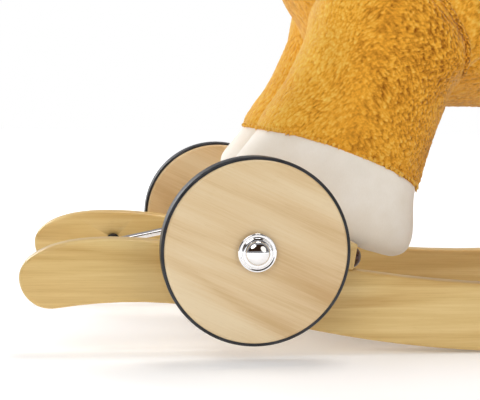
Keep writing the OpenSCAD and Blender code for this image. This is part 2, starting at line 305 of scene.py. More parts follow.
def capsule(p, r, q, s, rings=24, around=40):
    """A tapered capsule between two balls, as one closed shell."""
    p, q = np.array(p, float), np.array(q, float)
    length = np.linalg.norm(q - p)
    axis = (q - p) / length
    side = np.cross(axis, [0, 1, 0])
    side /= np.linalg.norm(side)
    other = np.cross(axis, side)
    tilt = math.asin(max(-1, min(1, (r - s) / length)))
    rows = [(p, r, a) for a in np.linspace(-math.pi / 2 + 0.05, tilt, rings // 2)]
    rows += [(q, s, a) for a in np.linspace(tilt, math.pi / 2 - 0.05, rings // 2)]
    shells = []
    for centre, radius, a in rows:
        middle = centre + axis * radius * math.sin(a)
        shells.append([
            middle + radius * math.cos(a) * (math.cos(t) * side + math.sin(t) * other)
            for t in circle(around)
        ])
    return skin("capsule", shells)


def remeshed(name, parts, voxel, soften):
    """One skin round overlapping closed parts, with the creases softened."""
    obj = joined(name, parts)
    mod = obj.modifiers.new("remesh", "REMESH")
    mod.mode = "VOXEL"
    mod.voxel_size = voxel * MM
    mod.use_smooth_shade = True
    relax = obj.modifiers.new("soften", "SMOOTH")
    relax.factor = 0.5
    relax.iterations = soften
    return apply_modifiers(obj)


# ==== cloth ====

PUFF_FRAMES = 20


def puff(obj, pressure, most, stiffness=15.0):
    """Inflates a soft piece as sewn cloth, and moves no point further than most."""
    start = points_of(obj)
    mod = obj.modifiers.new("puff", "CLOTH")
    cloth = mod.settings
    cloth.quality = 4
    cloth.mass = 0.3
    cloth.tension_stiffness = stiffness
    cloth.compression_stiffness = stiffness
    cloth.bending_stiffness = 0.6
    cloth.use_pressure = True
    cloth.uniform_pressure_force = pressure
    cloth.effector_weights.gravity = 0
    for step in range(1, PUFF_FRAMES + 1):
        scene.frame_set(step)
    apply_modifiers(obj)
    scene.frame_set(1)
    moved = points_of(obj) - start
    far = np.linalg.norm(moved, axis=1)
    share = np.where(far > most, most / np.maximum(far, 1e-9), 1.0)
    move_points(obj, start + moved * share[:, None])
    return obj


# ==== pile ====

def lattice(cells, seed, channel):
    """Repeatable numbers from 0 to 1 for whole-number cells."""
    n = cells.astype(np.int64)
    h = n[:, 0] * 73856093 ^ n[:, 1] * 19349663 ^ n[:, 2] * 83492791 ^ (seed * 8 + channel) * 2654435761
    h = (h ^ (h >> 13)) * 1274126177 & 0xFFFFFFFF
    h = (h ^ (h >> 15)) * 2246822519 & 0xFFFFFFFF
    h = h ^ (h >> 16)
    return (h & 0xFFFFFF) / float(0x1000000)


def soft_noise(points, size, seed):
    """Smooth noise from -1 to 1 with lumps of about that size."""
    q = points / size
    base = np.floor(q)
    f = q - base
    f = f * f * (3 - 2 * f)
    total = np.zeros(len(q))
    for corner in itertools.product((0, 1), repeat=3):
        c = np.array(corner)
        total += np.prod(np.where(c, f, 1 - f), axis=1) * lattice(base + c, seed, 0)
    return 2 * total - 1


def frame_of(direction):
    """Two directions square to a direction."""
    side = np.cross(direction, [0.2, 0.9, 0.3])
    side /= np.linalg.norm(side)
    return side, np.cross(direction, side)


TUFT_SPREAD = 0.6                    # how far a tuft reaches sideways, in squared widths
SMALL_TUFT = (0.6, 0.62)             # length and width of the small tufts, to those of the big ones
TUFT_MIX = (0.6, 0.4)                # shares of the big and of the small tufts
PILE_LEVEL = 0.45                    # the height of the pile that stays on the skin
CALMED = 0.42                        # how much of the relief a calm pile loses


def tufts(points, pile, length, width, seed):
    """Height from 0 to 1 of leaning tufts that overlap like shingles, with their tips along pile."""
    side, other = frame_of(pile)
    q = np.column_stack([points @ pile / length, points @ side / width, points @ other / width])
    base = np.floor(q)
    best = np.zeros(len(q))
    for offset in itertools.product((-1, 0, 1), repeat=3):
        cell = base + np.array(offset)
        seat = cell + np.column_stack([lattice(cell, seed, k) for k in (1, 2, 3)])
        d = q - seat
        crown = np.clip(1 - (d[:, 1] ** 2 + d[:, 2] ** 2) / TUFT_SPREAD, 0, None)
        rise = np.clip((d[:, 0] + 0.8) / 1.3, 0, 1) * np.clip((0.85 - d[:, 0]) / 0.3, 0, 1)
        best = np.maximum(best, crown * rise * (0.65 + 0.35 * lattice(cell, seed, 4)))
    return best


def shade(obj, name, values):
    """Stores a number at each point for the materials to read."""
    attribute = obj.data.attributes.new(name, "FLOAT", "POINT")
    attribute.data.foreach_set("value", values.astype(np.float32))


def comb(obj, pile, height, length=4.6, width=1.75, seed=1, swirl=4.0, calm=None, second=None, fan=None):
    """Raises the pile of a plush piece.

    calm gives how flat the pile lies at each point, from 0 to 1. fan gives from 0 to 1 how far the
    pile turns from its first direction to the second.
    """
    points = points_of(obj)
    normals = normals_of(obj)
    share = np.zeros(len(points)) if fan is None else fan(points)
    drift = np.column_stack([soft_noise(points, 26, seed + 10 + k) for k in range(3)])
    turned = points + swirl * drift
    tip = np.zeros(len(points))
    flow = np.zeros((len(points), 3))
    for way, weight in ((pile, 1 - share), (second, share)):
        if way is None or not weight.any():
            continue
        way = np.array(way, float) / np.linalg.norm(way)
        big = tufts(turned, way, length, width, seed)
        small = tufts(turned + 40, way, SMALL_TUFT[0] * length, SMALL_TUFT[1] * width, seed + 3)
        tip += weight * np.clip(TUFT_MIX[0] * big + TUFT_MIX[1] * small, 0, 1)
        flow += weight[:, None] * way
    strength = 0.85 + 0.15 * soft_noise(points, 18, seed + 5)
    if calm is not None:
        strength = strength * (1 - CALMED * calm(points))
    rise = height * (strength * (tip - PILE_LEVEL) + 0.10 * soft_noise(points, 9, seed + 7))
    tangent = flow - normals * np.sum(normals * flow, axis=1)[:, None]
    move_points(obj, points + normals * rise[:, None] + tangent * (0.5 * strength * tip * height)[:, None])
    # The pile height at each point, which the plush materials turn into painted shade at the roots.
    shade(obj, "tip", 1 - strength * (1 - tip))
    shade(obj, "fan", share)
    return obj


# ==== materials ====

class Nodes:
    """Short calls to add nodes to a tree."""

    def __init__(self, tree):
        self.nodes = tree.nodes
        self.links = tree.links

    def add(self, kind, **settings):
        node = self.nodes.new("ShaderNode" + kind)
        for key, value in settings.items():
            setattr(node, key, value)
        return node

    def link(self, out, node, socket):
        self.links.new(out, node.inputs[socket])

    def feed(self, node, socket, value):
        """Gives a socket an output, a number or a colour."""
        if isinstance(value, (int, float)):
            node.inputs[socket].default_value = value
        elif isinstance(value, tuple):
            node.inputs[socket].default_value = (*value, 1)
        else:
            self.link(value, node, socket)

    def math(self, operation, a, b):
        node = self.add("Math", operation=operation)
        self.feed(node, 0, a)
        self.feed(node, 1, b)
        return node.outputs[0]

    def mix(self, share, a, b, blend="MIX"):
        """Mixes two colours; share, a and b are outputs or plain values."""
        node = self.add("Mix", data_type="RGBA", blend_type=blend)
        for socket, value in ((0, share), (6, a), (7, b)):
            self.feed(node, socket, value)
        return node.outputs[2]

    def between(self, value, start, stop, low=0.0, high=1.0):
        """low where a value is below start, high above stop, and smooth between."""
        node = self.add("MapRange", interpolation_type="SMOOTHSTEP")
        self.link(value, node, "Value")
        for socket, number in (("From Min", start), ("From Max", stop), ("To Min", low), ("To Max", high)):
            node.inputs[socket].default_value = number
        return node.outputs["Result"]


class Surface(Nodes):
    """A Principled material with procedural textures."""

    def __init__(self, name, **sockets):
        self.material = bpy.data.materials.new(name)
        self.material.use_nodes = True
        super().__init__(self.material.node_tree)
        self.shader = self.nodes["Principled BSDF"]
        for key, value in sockets.items():
            self.shader.inputs[key.replace("_", " ")].default_value = value

    def coords(self, turn=(0, 0, 0), scale=(1, 1, 1)):
        """Object coordinates in metres, turned and then scaled."""
        turned = self.add("Mapping")
        turned.inputs["Rotation"].default_value = turn
        scaled = self.add("Mapping")
        scaled.inputs["Scale"].default_value = scale
        self.link(self.add("TexCoord").outputs["Object"], turned, "Vector")
        self.link(turned.outputs["Vector"], scaled, "Vector")
        return scaled.outputs["Vector"]

    def noise(self, vector, scale=1.0, detail=3.0, rough=0.5, distortion=0.0):
        node = self.add("TexNoise")
        self.link(vector, node, "Vector")
        node.inputs["Scale"].default_value = scale
        node.inputs["Detail"].default_value = detail
        node.inputs["Roughness"].default_value = rough
        node.inputs["Distortion"].default_value = distortion
        return node.outputs["Fac"]

    def grain(self, per_metre, detail):
        """Noise of the same fineness in every direction."""
        return self.noise(self.coords(scale=(per_metre,) * 3), detail=detail)

    def ramp(self, value, stops):
        """Colour stops as (place, colour)."""
        node = self.add("ValToRGB")
        self.link(value, node, "Fac")
        band = node.color_ramp
        while len(band.elements) < len(stops):
            band.elements.new(0.5)
        for element, (place, colour) in zip(band.elements, stops):
            element.position = place
            element.color = (*colour, 1)
        return node.outputs["Color"]

    def colour(self, output):
        self.link(output, self.shader, "Base Color")

    def roughness(self, value, low, high):
        node = self.add("MapRange")
        self.link(value, node, "Value")
        node.inputs["To Min"].default_value = low
        node.inputs["To Max"].default_value = high
        self.link(node.outputs["Result"], self.shader, "Roughness")

    def two_tone(self, value, low, high, start=0.3, stop=0.7):
        """A colour that goes from low to high between start and stop."""
        return self.ramp(value, [(start, low), (stop, high)])

    def bump(self, height, depth_mm, strength=1.0):
        node = self.add("Bump")
        node.inputs["Strength"].default_value = strength
        node.inputs["Distance"].default_value = depth_mm * MM
        self.link(height, node, "Height")
        self.link(node.outputs["Normal"], self.shader, "Normal")


def linear(red, green, blue):
    """Linear colour from 0 to 255 display values."""
    def one(v):
        v /= 255
        return v / 12.92 if v <= 0.04045 else ((v + 0.055) / 1.055) ** 2.4
    return one(red), one(green), one(blue)


def stretched(along, length, width):
    """Scales that make noise long along one axis: lengths in millimetres."""
    return tuple((1 / length if axis == along else 1 / width) / MM for axis in "XYZ")


def wood(name, pale, mid, deep, along="X", turn=(0, 0, 0), contrast=1.0, band=13, streak=0.28):
    """Lacquered softwood with growth bands, fine streaks and small flecks along one axis."""
    s = Surface(name, Coat_Weight=0.25, Coat_Roughness=0.18, Specular_IOR_Level=0.45)
    bands = s.noise(s.coords(turn, stretched(along, 190, band)), detail=2.5, rough=0.55, distortion=0.5)
    streaks = s.noise(s.coords(turn, stretched(along, 46, 1.1)), detail=3, rough=0.6)
    flecks = s.noise(s.coords(turn, stretched(along, 7, 0.5)), detail=1)
    blend = s.math("ADD", s.math("MULTIPLY", bands, 1 - streak), s.math("MULTIPLY", streaks, streak))
    low, high = 0.5 - 0.16 / contrast, 0.5 + 0.16 / contrast
    base = s.ramp(blend, [(low, pale), (0.5, mid), (high, deep)])
    spots = s.two_tone(flecks, (1, 1, 1), (0.86, 0.80, 0.70), 0.62, 0.78)
    s.colour(s.mix(0.55, base, spots, "MULTIPLY"))
    s.roughness(streaks, 0.33, 0.48)
    s.bump(streaks, 0.05, 0.5)
    return s.material


def chrome():
    """Bright plate with a few slightly duller patches."""
    s = Surface("chrome", Metallic=1.0)
    haze = s.grain(60, 3)
    s.colour(s.two_tone(haze, (0.84, 0.84, 0.85), (0.92, 0.92, 0.93), 0.35, 0.65))
    s.roughness(haze, 0.03, 0.09)
    return s.material


def zinc():
    """Dull plated steel with a mottled passivation."""
    s = Surface("zinc_steel", Metallic=1.0)
    mottle = s.grain(400, 4)
    s.colour(s.two_tone(mottle, (0.42, 0.42, 0.40), (0.66, 0.66, 0.62)))
    s.roughness(mottle, 0.3, 0.5)
    s.bump(mottle, 0.02, 0.4)
    return s.material


def rubber():
    """Black band with fine moulding texture and dusty wear."""
    s = Surface("tyre_rubber", Specular_IOR_Level=0.4)
    grain = s.grain(1400, 2)
    dust = s.grain(90, 4)
    s.colour(s.two_tone(dust, (0.012, 0.013, 0.016), (0.040, 0.043, 0.052), 0.4, 0.75))
    s.roughness(dust, 0.32, 0.5)
    s.bump(grain, 0.04, 0.5)
    return s.material


def plastic(name, deep, light, gloss):
    """Moulded plastic with a slight orange-peel surface."""
    s = Surface(name, Coat_Weight=0.4, Coat_Roughness=0.08)
    peel = s.grain(320, 2)
    s.colour(s.two_tone(peel, deep, light))
    s.roughness(peel, gloss, gloss + 0.12)
    s.bump(peel, 0.03, 0.35)
    return s.material


HAIR = stretched("Z", 3.6, 0.5)       # noise as long and as thick as a hair


def hair_turn(x, z):
    """The turn that lays a material's Z axis along a direction in the XZ plane."""
    return 0, math.atan2(-x, z), 0


def plush(name, root, middle, tip, turn, fanned=None):
    """Short pile: painted shade at the roots between light tips, with single hairs along the turned Z axis.
    """
    s = Surface(name, Roughness=0.9, Specular_IOR_Level=0.12, Sheen_Weight=0.7, Sheen_Roughness=0.22)
    s.shader.inputs["Sheen Tint"].default_value = (*(0.6 + 0.4 * v for v in tip), 1)
    # root is the colour of painted shade deep in the pile: the lower a point sits in the pile, the darker it
    # is painted.
    pile_shade_height = s.add("Attribute", attribute_name="tip").outputs["Fac"]
    hairs = s.noise(s.coords(turn, HAIR), detail=3, rough=0.65)
    if fanned:
        other = s.noise(s.coords(fanned, HAIR), detail=3, rough=0.65)
        share = s.add("Attribute", attribute_name="fan").outputs["Fac"]
        hairs = s.math("ADD", s.math("MULTIPLY", hairs, s.math("SUBTRACT", 1.0, share)),
                       s.math("MULTIPLY", other, share))
    cloud = s.grain(34, 3)
    level = s.math("ADD", s.math("MULTIPLY", pile_shade_height, 0.72), s.math("MULTIPLY", hairs, 0.5))
    base = s.ramp(level, [(0.42, root), (0.68, middle), (0.94, tip)])
    patch = s.two_tone(cloud, (0.93, 0.90, 0.86), (1, 1, 1), 0.35, 0.65)
    s.colour(s.mix(1.0, base, patch, "MULTIPLY"))
    s.bump(hairs, 0.8, 0.9)
    return s.material


def brushed_cloth(name, light, dark):
    """Smooth napped cloth with a faint knit under the nap."""
    s = Surface(name, Specular_IOR_Level=0.2, Sheen_Weight=0.35, Sheen_Roughness=0.5)
    nap = s.noise(s.coords(hair_turn(LEG_UP[0], LEG_UP[2]), stretched("Z", 2.4, 0.55)), detail=4, rough=0.65)
    cloud = s.grain(45, 3)
    s.colour(s.mix(0.3, s.two_tone(cloud, dark, light), s.two_tone(nap, dark, light)))
    s.roughness(nap, 0.78, 0.92)
    s.bump(nap, 0.16, 0.55)
    return s.material


def felt():
    """Pressed fibres with a mottled dye."""
    s = Surface("felt", Specular_IOR_Level=0.15, Sheen_Weight=0.4, Sheen_Roughness=0.5)
    fibres = s.noise(s.coords(scale=(900, 900, 900)), detail=5, rough=0.7, distortion=1.2)
    cloud = s.grain(60, 3)
    tone = s.math("ADD", s.math("MULTIPLY", fibres, 0.6), s.math("MULTIPLY", cloud, 0.4))
    s.colour(s.ramp(tone, [(0.32, linear(72, 34, 20)), (0.5, linear(112, 58, 34)),
                           (0.68, linear(146, 84, 52))]))
    s.roughness(fibres, 0.85, 0.98)
    s.bump(fibres, 0.35, 0.8)
    return s.material


def leather(name, deep, mid, worn):
    """Grained leather with creases and a lighter worn tone."""
    s = Surface(name, Specular_IOR_Level=0.4, Coat_Weight=0.15, Coat_Roughness=0.35)
    cells = s.add("TexVoronoi", feature="DISTANCE_TO_EDGE")
    s.link(s.coords(scale=(620, 620, 620)), cells, "Vector")
    cells.inputs["Scale"].default_value = 1.0
    cloud = s.grain(38, 4)
    grain = s.ramp(cells.outputs["Distance"], [(0.0, (0, 0, 0)), (0.22, (1, 1, 1))])
    s.colour(s.mix(0.35, s.ramp(cloud, [(0.3, deep), (0.55, mid), (0.75, worn)]), grain, "MULTIPLY"))
    s.roughness(cloud, 0.38, 0.58)
    s.bump(grain, 0.12, 0.6)
    return s.material


def thread(name, light, dark):
    """Twisted thread."""
    s = Surface(name, Roughness=0.7, Sheen_Weight=0.3)
    twist = s.grain(1500, 3)
    s.colour(s.two_tone(twist, dark, light))
    s.bump(twist, 0.1, 0.6)
    return s.material


PUPIL_X = -222.5
PUPIL_Z = 492.5


def glass_eye():
    """A brown iris round a black pupil, by distance from the eye's axis."""
    s = Surface("glass_eye", Roughness=0.06, Coat_Weight=1.0, Coat_Roughness=0.02)
    centre = s.add("Mapping")
    s.link(s.add("TexCoord").outputs["Object"], centre, "Vector")
    centre.inputs["Location"].default_value = (-PUPIL_X * MM, 0, -PUPIL_Z * MM)
    centre.inputs["Scale"].default_value = (1, 0, 1)
    reach = s.add("VectorMath", operation="LENGTH")
    s.link(centre.outputs["Vector"], reach, 0)
    out = s.math("MULTIPLY", reach.outputs["Value"], 100.0)
    streaks = s.grain(700, 3)
    ring = s.math("ADD", out, s.math("MULTIPLY", streaks, 0.08))
    s.colour(s.ramp(ring, [(0.40, (0.004, 0.003, 0.003)), (0.48, linear(88, 44, 18)),
                           (0.66, linear(52, 24, 10)), (0.80, (0.006, 0.004, 0.003))]))
    return s.material


GRAIN_FALL = math.radians(24)
FRONT_FLOW = (-0.708, -0.702)        # the pile's way at the front of a front leg, along X and Z
REAR_FLOW = (0.551, -0.835)          # and at its rear
REAR_FLOW_3D = (REAR_FLOW[0], 0, REAR_FLOW[1])
MATERIALS = {
    "near_pine": wood("pine_rocker", linear(226, 198, 134), linear(214, 181, 114), linear(196, 157, 88)),
    "board_pine": wood("pine_board", linear(224, 194, 132), linear(212, 178, 110), linear(192, 152, 86), "Y"),
    "inner_wood": wood("inner_wood", linear(206, 176, 128), linear(186, 152, 102), linear(160, 124, 80), "Z"),
    "wheel_wood": wood("wheel_wood", linear(227, 206, 168), linear(218, 191, 147), linear(196, 160, 108),
                       turn=(0, -GRAIN_FALL, 0), contrast=0.95, band=22, streak=0.2),
    "chrome": chrome(),
    "zinc": zinc(),
    "rubber": rubber(),
    "brown_plastic": plastic("brown_plastic", linear(46, 16, 10), linear(62, 24, 15), 0.22),
    "black_plastic": plastic("black_plastic", linear(14, 14, 15), linear(28, 28, 30), 0.3),
    # The first colour of each plush is painted shade at the roots of the pile.
    "golden": plush("golden_plush", linear(140, 77, 12), linear(240, 170, 53), linear(255, 224, 114),
                    hair_turn(*FRONT_FLOW), hair_turn(*REAR_FLOW)),
    "mane": plush("mane_fur", linear(176, 160, 134), linear(226, 216, 196), linear(248, 243, 232),
                  hair_turn(0.45, 0.9)),
    "cream": brushed_cloth("cream_fabric", linear(242, 237, 228), linear(231, 223, 209)),
    "muzzle": brushed_cloth("muzzle_fabric", linear(230, 219, 200), linear(214, 200, 176)),
    "felt": felt(),
    "leather": leather("saddle_leather", linear(84, 42, 22), linear(116, 62, 34), linear(150, 90, 54)),
    "strap": leather("strap_leather", linear(52, 26, 14), linear(74, 38, 22), linear(104, 60, 36)),
    "thread": thread("stitching", linear(226, 196, 140), linear(180, 146, 96)),
    "dark_thread": thread("dark_stitching", linear(96, 60, 40), linear(60, 34, 22)),
    "eye": glass_eye(),
}


def coat(obj, material):
    obj.data.materials.clear()
    obj.data.materials.append(MATERIALS[material])


def place(obj, material, *nodes, body="horse"):
    """Gives a finished piece its body and its material, and hides the CAD nodes that it stands for."""
    coat(obj, material)
    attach(obj, body)
    if nodes:
        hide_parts(*nodes)
    return obj


def dress(material, *nodes):
    """Gives CAD nodes whose shape is right their material and smooth shading."""
    for node in nodes:
        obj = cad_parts[node]
        coat(obj, material)
        sharpen(obj, 30)


# ==== wooden parts ====

ARRIS = 2.6                          # radius of the rounded edges of the rockers
BOARD_ARRIS = 1.2


def bevelled(node, picked, offset, segments, material):
    """A wooden CAD part with the edges that picked chooses rounded over."""
    bm = bmesh.new()
    bm.from_mesh(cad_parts[node].data)
    bmesh.ops.remove_doubles(bm, verts=bm.verts, dist=0.02 * MM)
    bmesh.ops.dissolve_limit(bm, angle_limit=math.radians(0.4), verts=bm.verts, edges=bm.edges)
    edges = [edge for edge in bm.edges if len(edge.link_faces) == 2 and picked(edge)]
    bmesh.ops.bevel(bm, geom=edges, offset=offset * MM, segments=segments, profile=0.5, affect="EDGES",
                    clamp_overlap=True)
    obj = sharpen(built(f"{node}_shaped", bm), 30)
    return place(obj, material, node)


def rounded_rocker(side):
    """A rocker with its long edges rounded over, away from the bores."""
    node = f"rocker_{side}"
    faces = [corner[1] for corner in node_box(node)]

    def picked(edge):
        ends = [vert.co / MM for vert in edge.verts]
        middle = (ends[0] + ends[1]) / 2
        rim = min(abs(ends[0].y - face) for face in faces) <= 0.01 and abs(ends[0].y - ends[1].y) <= 0.01
        bore = abs(abs(middle.x) + PIVOT[0]) < 12 and abs(middle.z - PIVOT[2]) < 12
        return rim and not bore and edge.calc_face_angle(0) >= math.radians(60)

    return bevelled(node, picked, ARRIS, 4, "near_pine")


def board_shaped(end):
    """A cross board with its long edges slightly rounded, and its countersunk screw holes."""
    def picked(edge):
        return abs(edge.calc_face_angle(0) - math.pi / 2) < 0.1 and edge.calc_length() > 12 * MM

    return bevelled(f"{end}_cross_board", picked, BOARD_ARRIS, 3, "board_pine")


WHEEL_R = (WHEEL_HIGH[2] - WHEEL_LOW[2]) / 2
WHEEL_ROUND = 2.2                    # radius of the rounded rims
TYRE_ROUND = 1.3


def rim_profile(inner, start, end, radius, round_r, steps=5):
    """Half section of a disc or band from start to end along its axis, with round rims."""
    rows = [(start, inner)]
    for k in range(steps + 1):
        a = math.pi / 2 * k / steps
        rows.append((start + round_r * (1 - math.sin(a)), radius - round_r * (1 - math.cos(a))))
    rows[1:] = sorted(rows[1:], key=lambda r: r[1])
    top = [(start + end - a, r) for a, r in reversed(rows[1:])]
    return rows + top + [(end, inner)]


def on_axle(end, side):
    """Maps (along, a, b) to a point: along runs outwards from the middle plane on an axle."""
    return lambda along, a, b: (ENDS[end] * AXLE_X + a, SIDES[side] * along, AXLE_Z + b)


def wheel_disc(end, side):
    start, stop = WHEEL_LOW[1], WHEEL_HIGH[1]
    bore = (AXLE_HIGH[2] - AXLE_LOW[2]) / 2 + 0.05
    profile = rim_profile(bore, start, stop, WHEEL_R, WHEEL_ROUND)
    obj = ring_skin(f"{end}_wheel_{side}_disc", profile, on_axle(end, side))
    sharpen(obj, 40)
    return place(obj, "wheel_wood", f"{end}_wheel_{side}", body=f"{end}_wheel_{side}_spin")


def tyre_band(end, side):
    radius = (TYRE_HIGH[2] - TYRE_LOW[2]) / 2
    profile = rim_profile(WHEEL_R + 0.01, TYRE_LOW[1], TYRE_HIGH[1], radius, TYRE_ROUND)
    obj = ring_skin(f"{end}_tyre_{side}_band", profile, on_axle(end, side), 160)
    sharpen(obj, 50)
    return place(obj, "rubber", f"{end}_tyre_{side}", body=f"{end}_wheel_{side}_spin")


CAP_BASE = 141.5                     # where the hub caps start, from the middle plane
HUB_CAP_R = 12.7


def hub_cap(end, side):
    """A pressed push cap: a rolled rim, a groove, a step and a dome."""
    section = [
        (0.0, 11.2), (0.25, 11.8), (0.8, 12.0), (1.5, 11.85), (2.0, 11.3), (2.05, 10.7),
        (1.75, 10.2), (1.65, 9.7), (1.9, 9.35), (2.5, 9.15), (2.85, 8.8), (2.95, 8.3), (3.0, 7.75)
    ]
    section += [(3.0 + 4.2 * math.sin(a), 7.6 * math.cos(a)) for a in np.linspace(0.12, 1.53, 12)]
    section = [(along, radius * HUB_CAP_R / 12.0) for along, radius in section]
    point = on_axle(end, side)
    return lathe(f"{end}_cap_{side}", section, lambda along, a, b: point(CAP_BASE + along, a, b), 72)


def hub_caps(end):
    obj = joined(f"{end}_hub_caps_pressed", [hub_cap(end, side) for side in SIDES])
    sharpen(obj, 60)
    return place(obj, "chrome", f"{end}_hub_caps", body=f"{end}_frame")


def on_board(end, point):
    """A point given on a cross board (along, across, up from its underside) in the row frame."""
    along, across, up = point
    x = BOARD_MIDDLE[0] + along * math.cos(BOARD_TILT) + up * math.sin(BOARD_TILT)
    z = BOARD_MIDDLE[2] - along * math.sin(BOARD_TILT) + up * math.cos(BOARD_TILT)
    return (-ENDS[end] * x, across, z)


CAP_AT = (BOARD_HALF, 80.8, 6.2)
CAP_R = 8.6


def safety_caps():
    """Snap-on domes over the screws in the boards' inner edges: a collar, a step and a dome."""
    dome_r = CAP_R - 0.6
    section = [(0.02, CAP_R - 0.3), (0.3, CAP_R), (1.6, CAP_R), (2.0, dome_r + 0.25), (2.15, dome_r)]
    section += [(2.15 + 7.6 * math.sin(a), dome_r * math.cos(a)) for a in np.linspace(0.15, 1.53, 12)]
    caps = []
    for end in ENDS:
        for side in SIDES.values():
            def point(along, a, b, end=end, side=side):
                return on_board(end, (CAP_AT[0] + along, side * (CAP_AT[1] + a), CAP_AT[2] + b))
            caps.append(lathe("cap", section, point, 56))
    obj = joined("board_caps_domed", caps)
    sharpen(obj, 50)
    return place(obj, "brown_plastic", "board_caps")


def handle():
    """A turned dowel with round ends and a turned groove near each end."""
    low, high = node_box("handle_bar")
    x, z = (low[0] + high[0]) / 2, (low[2] + high[2]) / 2
    half, radius = high[1], (high[2] - low[2]) / 2
    right = [(0, radius), (half - 20, radius), (half - 19, radius), (half - 18, radius - 1.2),
             (half - 17, radius - 1.2), (half - 16, radius), (half - 15, radius), (half - 6, radius)]
    right += [(half - 6 + 6 * math.sin(a), radius - 6 + 6 * math.cos(a)) for a in np.linspace(0.2, 1.57, 8)]
    right.append((half, 1.0))
    profile = [(-a, r) for a, r in reversed(right[1:])] + right
    obj = lathe("handle_bar_turned", profile, lambda along, a, b: (x + a, along, z + b), 64)
    sharpen(obj, 50)
    return place(obj, "board_pine", "handle_bar")


# ==== plush parts ====

LEG_KEYS = [                         # up the leg, front edge, rear edge, half width
    (52.0, -46, 46, 27), (52.4, -60.5, 60.5, 36.6), (55.5, -63.2, 63.2, 38.4), (61, -63.0, 62.8, 38.4),
    (72, -60.4, 61.6, 38.0), (86, -56.6, 60.8, 37.6), (104, -54.0, 60.6, 37.4), (130, -52.8, 61.6, 38.2),
    (143, -54.2, 64.5, 39.8), (152, -55.2, 64, 40.6), (162, -54, 57, 41), (172, -49, 45, 40.6),
    (180, -39, 30, 39), (185, -22, 8, 30)
]
HOOF_KEYS = [
    (0.2, -28, 42, 18), (0.4, -40, 57, 29), (2.2, -50, 65, 34), (8, -57, 71.4, 38), (17, -67, 72.4, 40.2),
    (26, -70.2, 70.6, 40.6), (36, -67.6, 66.6, 39.8), (46, -64, 63, 38.6), (53.5, -61.6, 61.2, 37.4),
    (57.5, -57, 57, 34), (58.5, -40, 40, 22)
]
ROUND_CORNER = 2.25                  # 2 is an ellipse; more is a squarer section
SQUARE_CORNER = 3.4                  # at the shoulder
HEM_UP = 54.0
HEM_BOW = 6.5                        # how far the hem rises over the sides of a leg
HEM_HALF = 61.6                      # the hem's half length along the horse
HEM_WIDE = 37.0                      # and its half width
HEM_STEP = 0.075                     # angle from one lock at the hem to the next


def hem_bow(up, low, high):
    """Share of the hem's bow at a height: all of it at the hem, none at low and high."""
    return np.clip(np.minimum((up - low) / (HEM_UP - low), (high - up) / (high - HEM_UP)), 0, 1)


def leg_rings(keys, spans, count, around, low, high):
    """Rings of a front left leg or hoof, from key rows measured on the leg's axis."""
    rows = smooth_keys([(up, (rear - front) / 2, wide, (front + rear) / 2) for up, front, rear, wide in keys],
                       spans)
    rows = resample(rows, count)
    rings = []
    for up, half, deep, middle in rows:
        corner = ROUND_CORNER + (SQUARE_CORNER - ROUND_CORNER) * np.clip((up - 128) / 20, 0, 1)
        ring = []
        for a in circle(around):
            c, s = math.cos(a), math.sin(a)
            back = middle + half * math.copysign(abs(c) ** (2 / corner), c)
            out = deep * math.copysign(abs(s) ** (2 / corner), s)
            rise = up + HEM_BOW * s * s * hem_bow(up, low, high)
            ring.append(LEG_FOOT + rise * LEG_UP + back * LEG_BACK + np.array([0, -LEG_Y + out, 0]))
        rings.append(ring)
    return rings


def keep_clear(points):
    """Pushes points off the cross board and out of the folding axle's way."""
    rel = points - BOARD_MIDDLE
    along = rel[:, 0] * math.cos(BOARD_TILT) - rel[:, 2] * math.sin(BOARD_TILT)
    up = rel[:, 0] * math.sin(BOARD_TILT) + rel[:, 2] * math.cos(BOARD_TILT)
    lift = np.where((along < BOARD_HALF + 0.6) & (up < BOARD_T + 0.3), BOARD_T + 0.3 - up, 0)
    points = points + lift[:, None] * np.array([math.sin(BOARD_TILT), 0, math.cos(BOARD_TILT)])
    flat = points - PIVOT
    flat[:, 1] = 0
    reach = np.linalg.norm(flat, axis=1)
    push = np.clip(SWING_R - reach, 0, None)
    return points + flat / reach[:, None] * push[:, None]


def leg_base():
    """A bare inflated front left leg, which the four legs are copied from."""
    obj = skin("leg_base", leg_rings(LEG_KEYS, 6, 30, 56, 0, 92))
    return puff(obj, 3.0, 1.6)


def along_back(points):
    """How far points are behind the axis of their leg, whichever leg it is."""
    ahead = -np.abs(points[:, 0]) - LEG_FOOT[0]
    return ahead * LEG_BACK[0] + (points[:, 2] - LEG_FOOT[2]) * LEG_BACK[2]


def leg_calm(points):
    """The pile lies flat on the front of a leg and stands up behind."""
    return np.clip(0.9 - (along_back(points) + 44) / 60, 0.24, 1)


def half_calm(points):
    """The short pile of the body and head."""
    return np.full(len(points), 0.60)


def leg_fan(points):
    """The pile turns from forwards to backwards across a leg."""
    share = np.clip((along_back(points) + 22 + 9 * soft_noise(points, 30, 17)) / 34, 0, 1)
    return share * share * (3 - 2 * share)


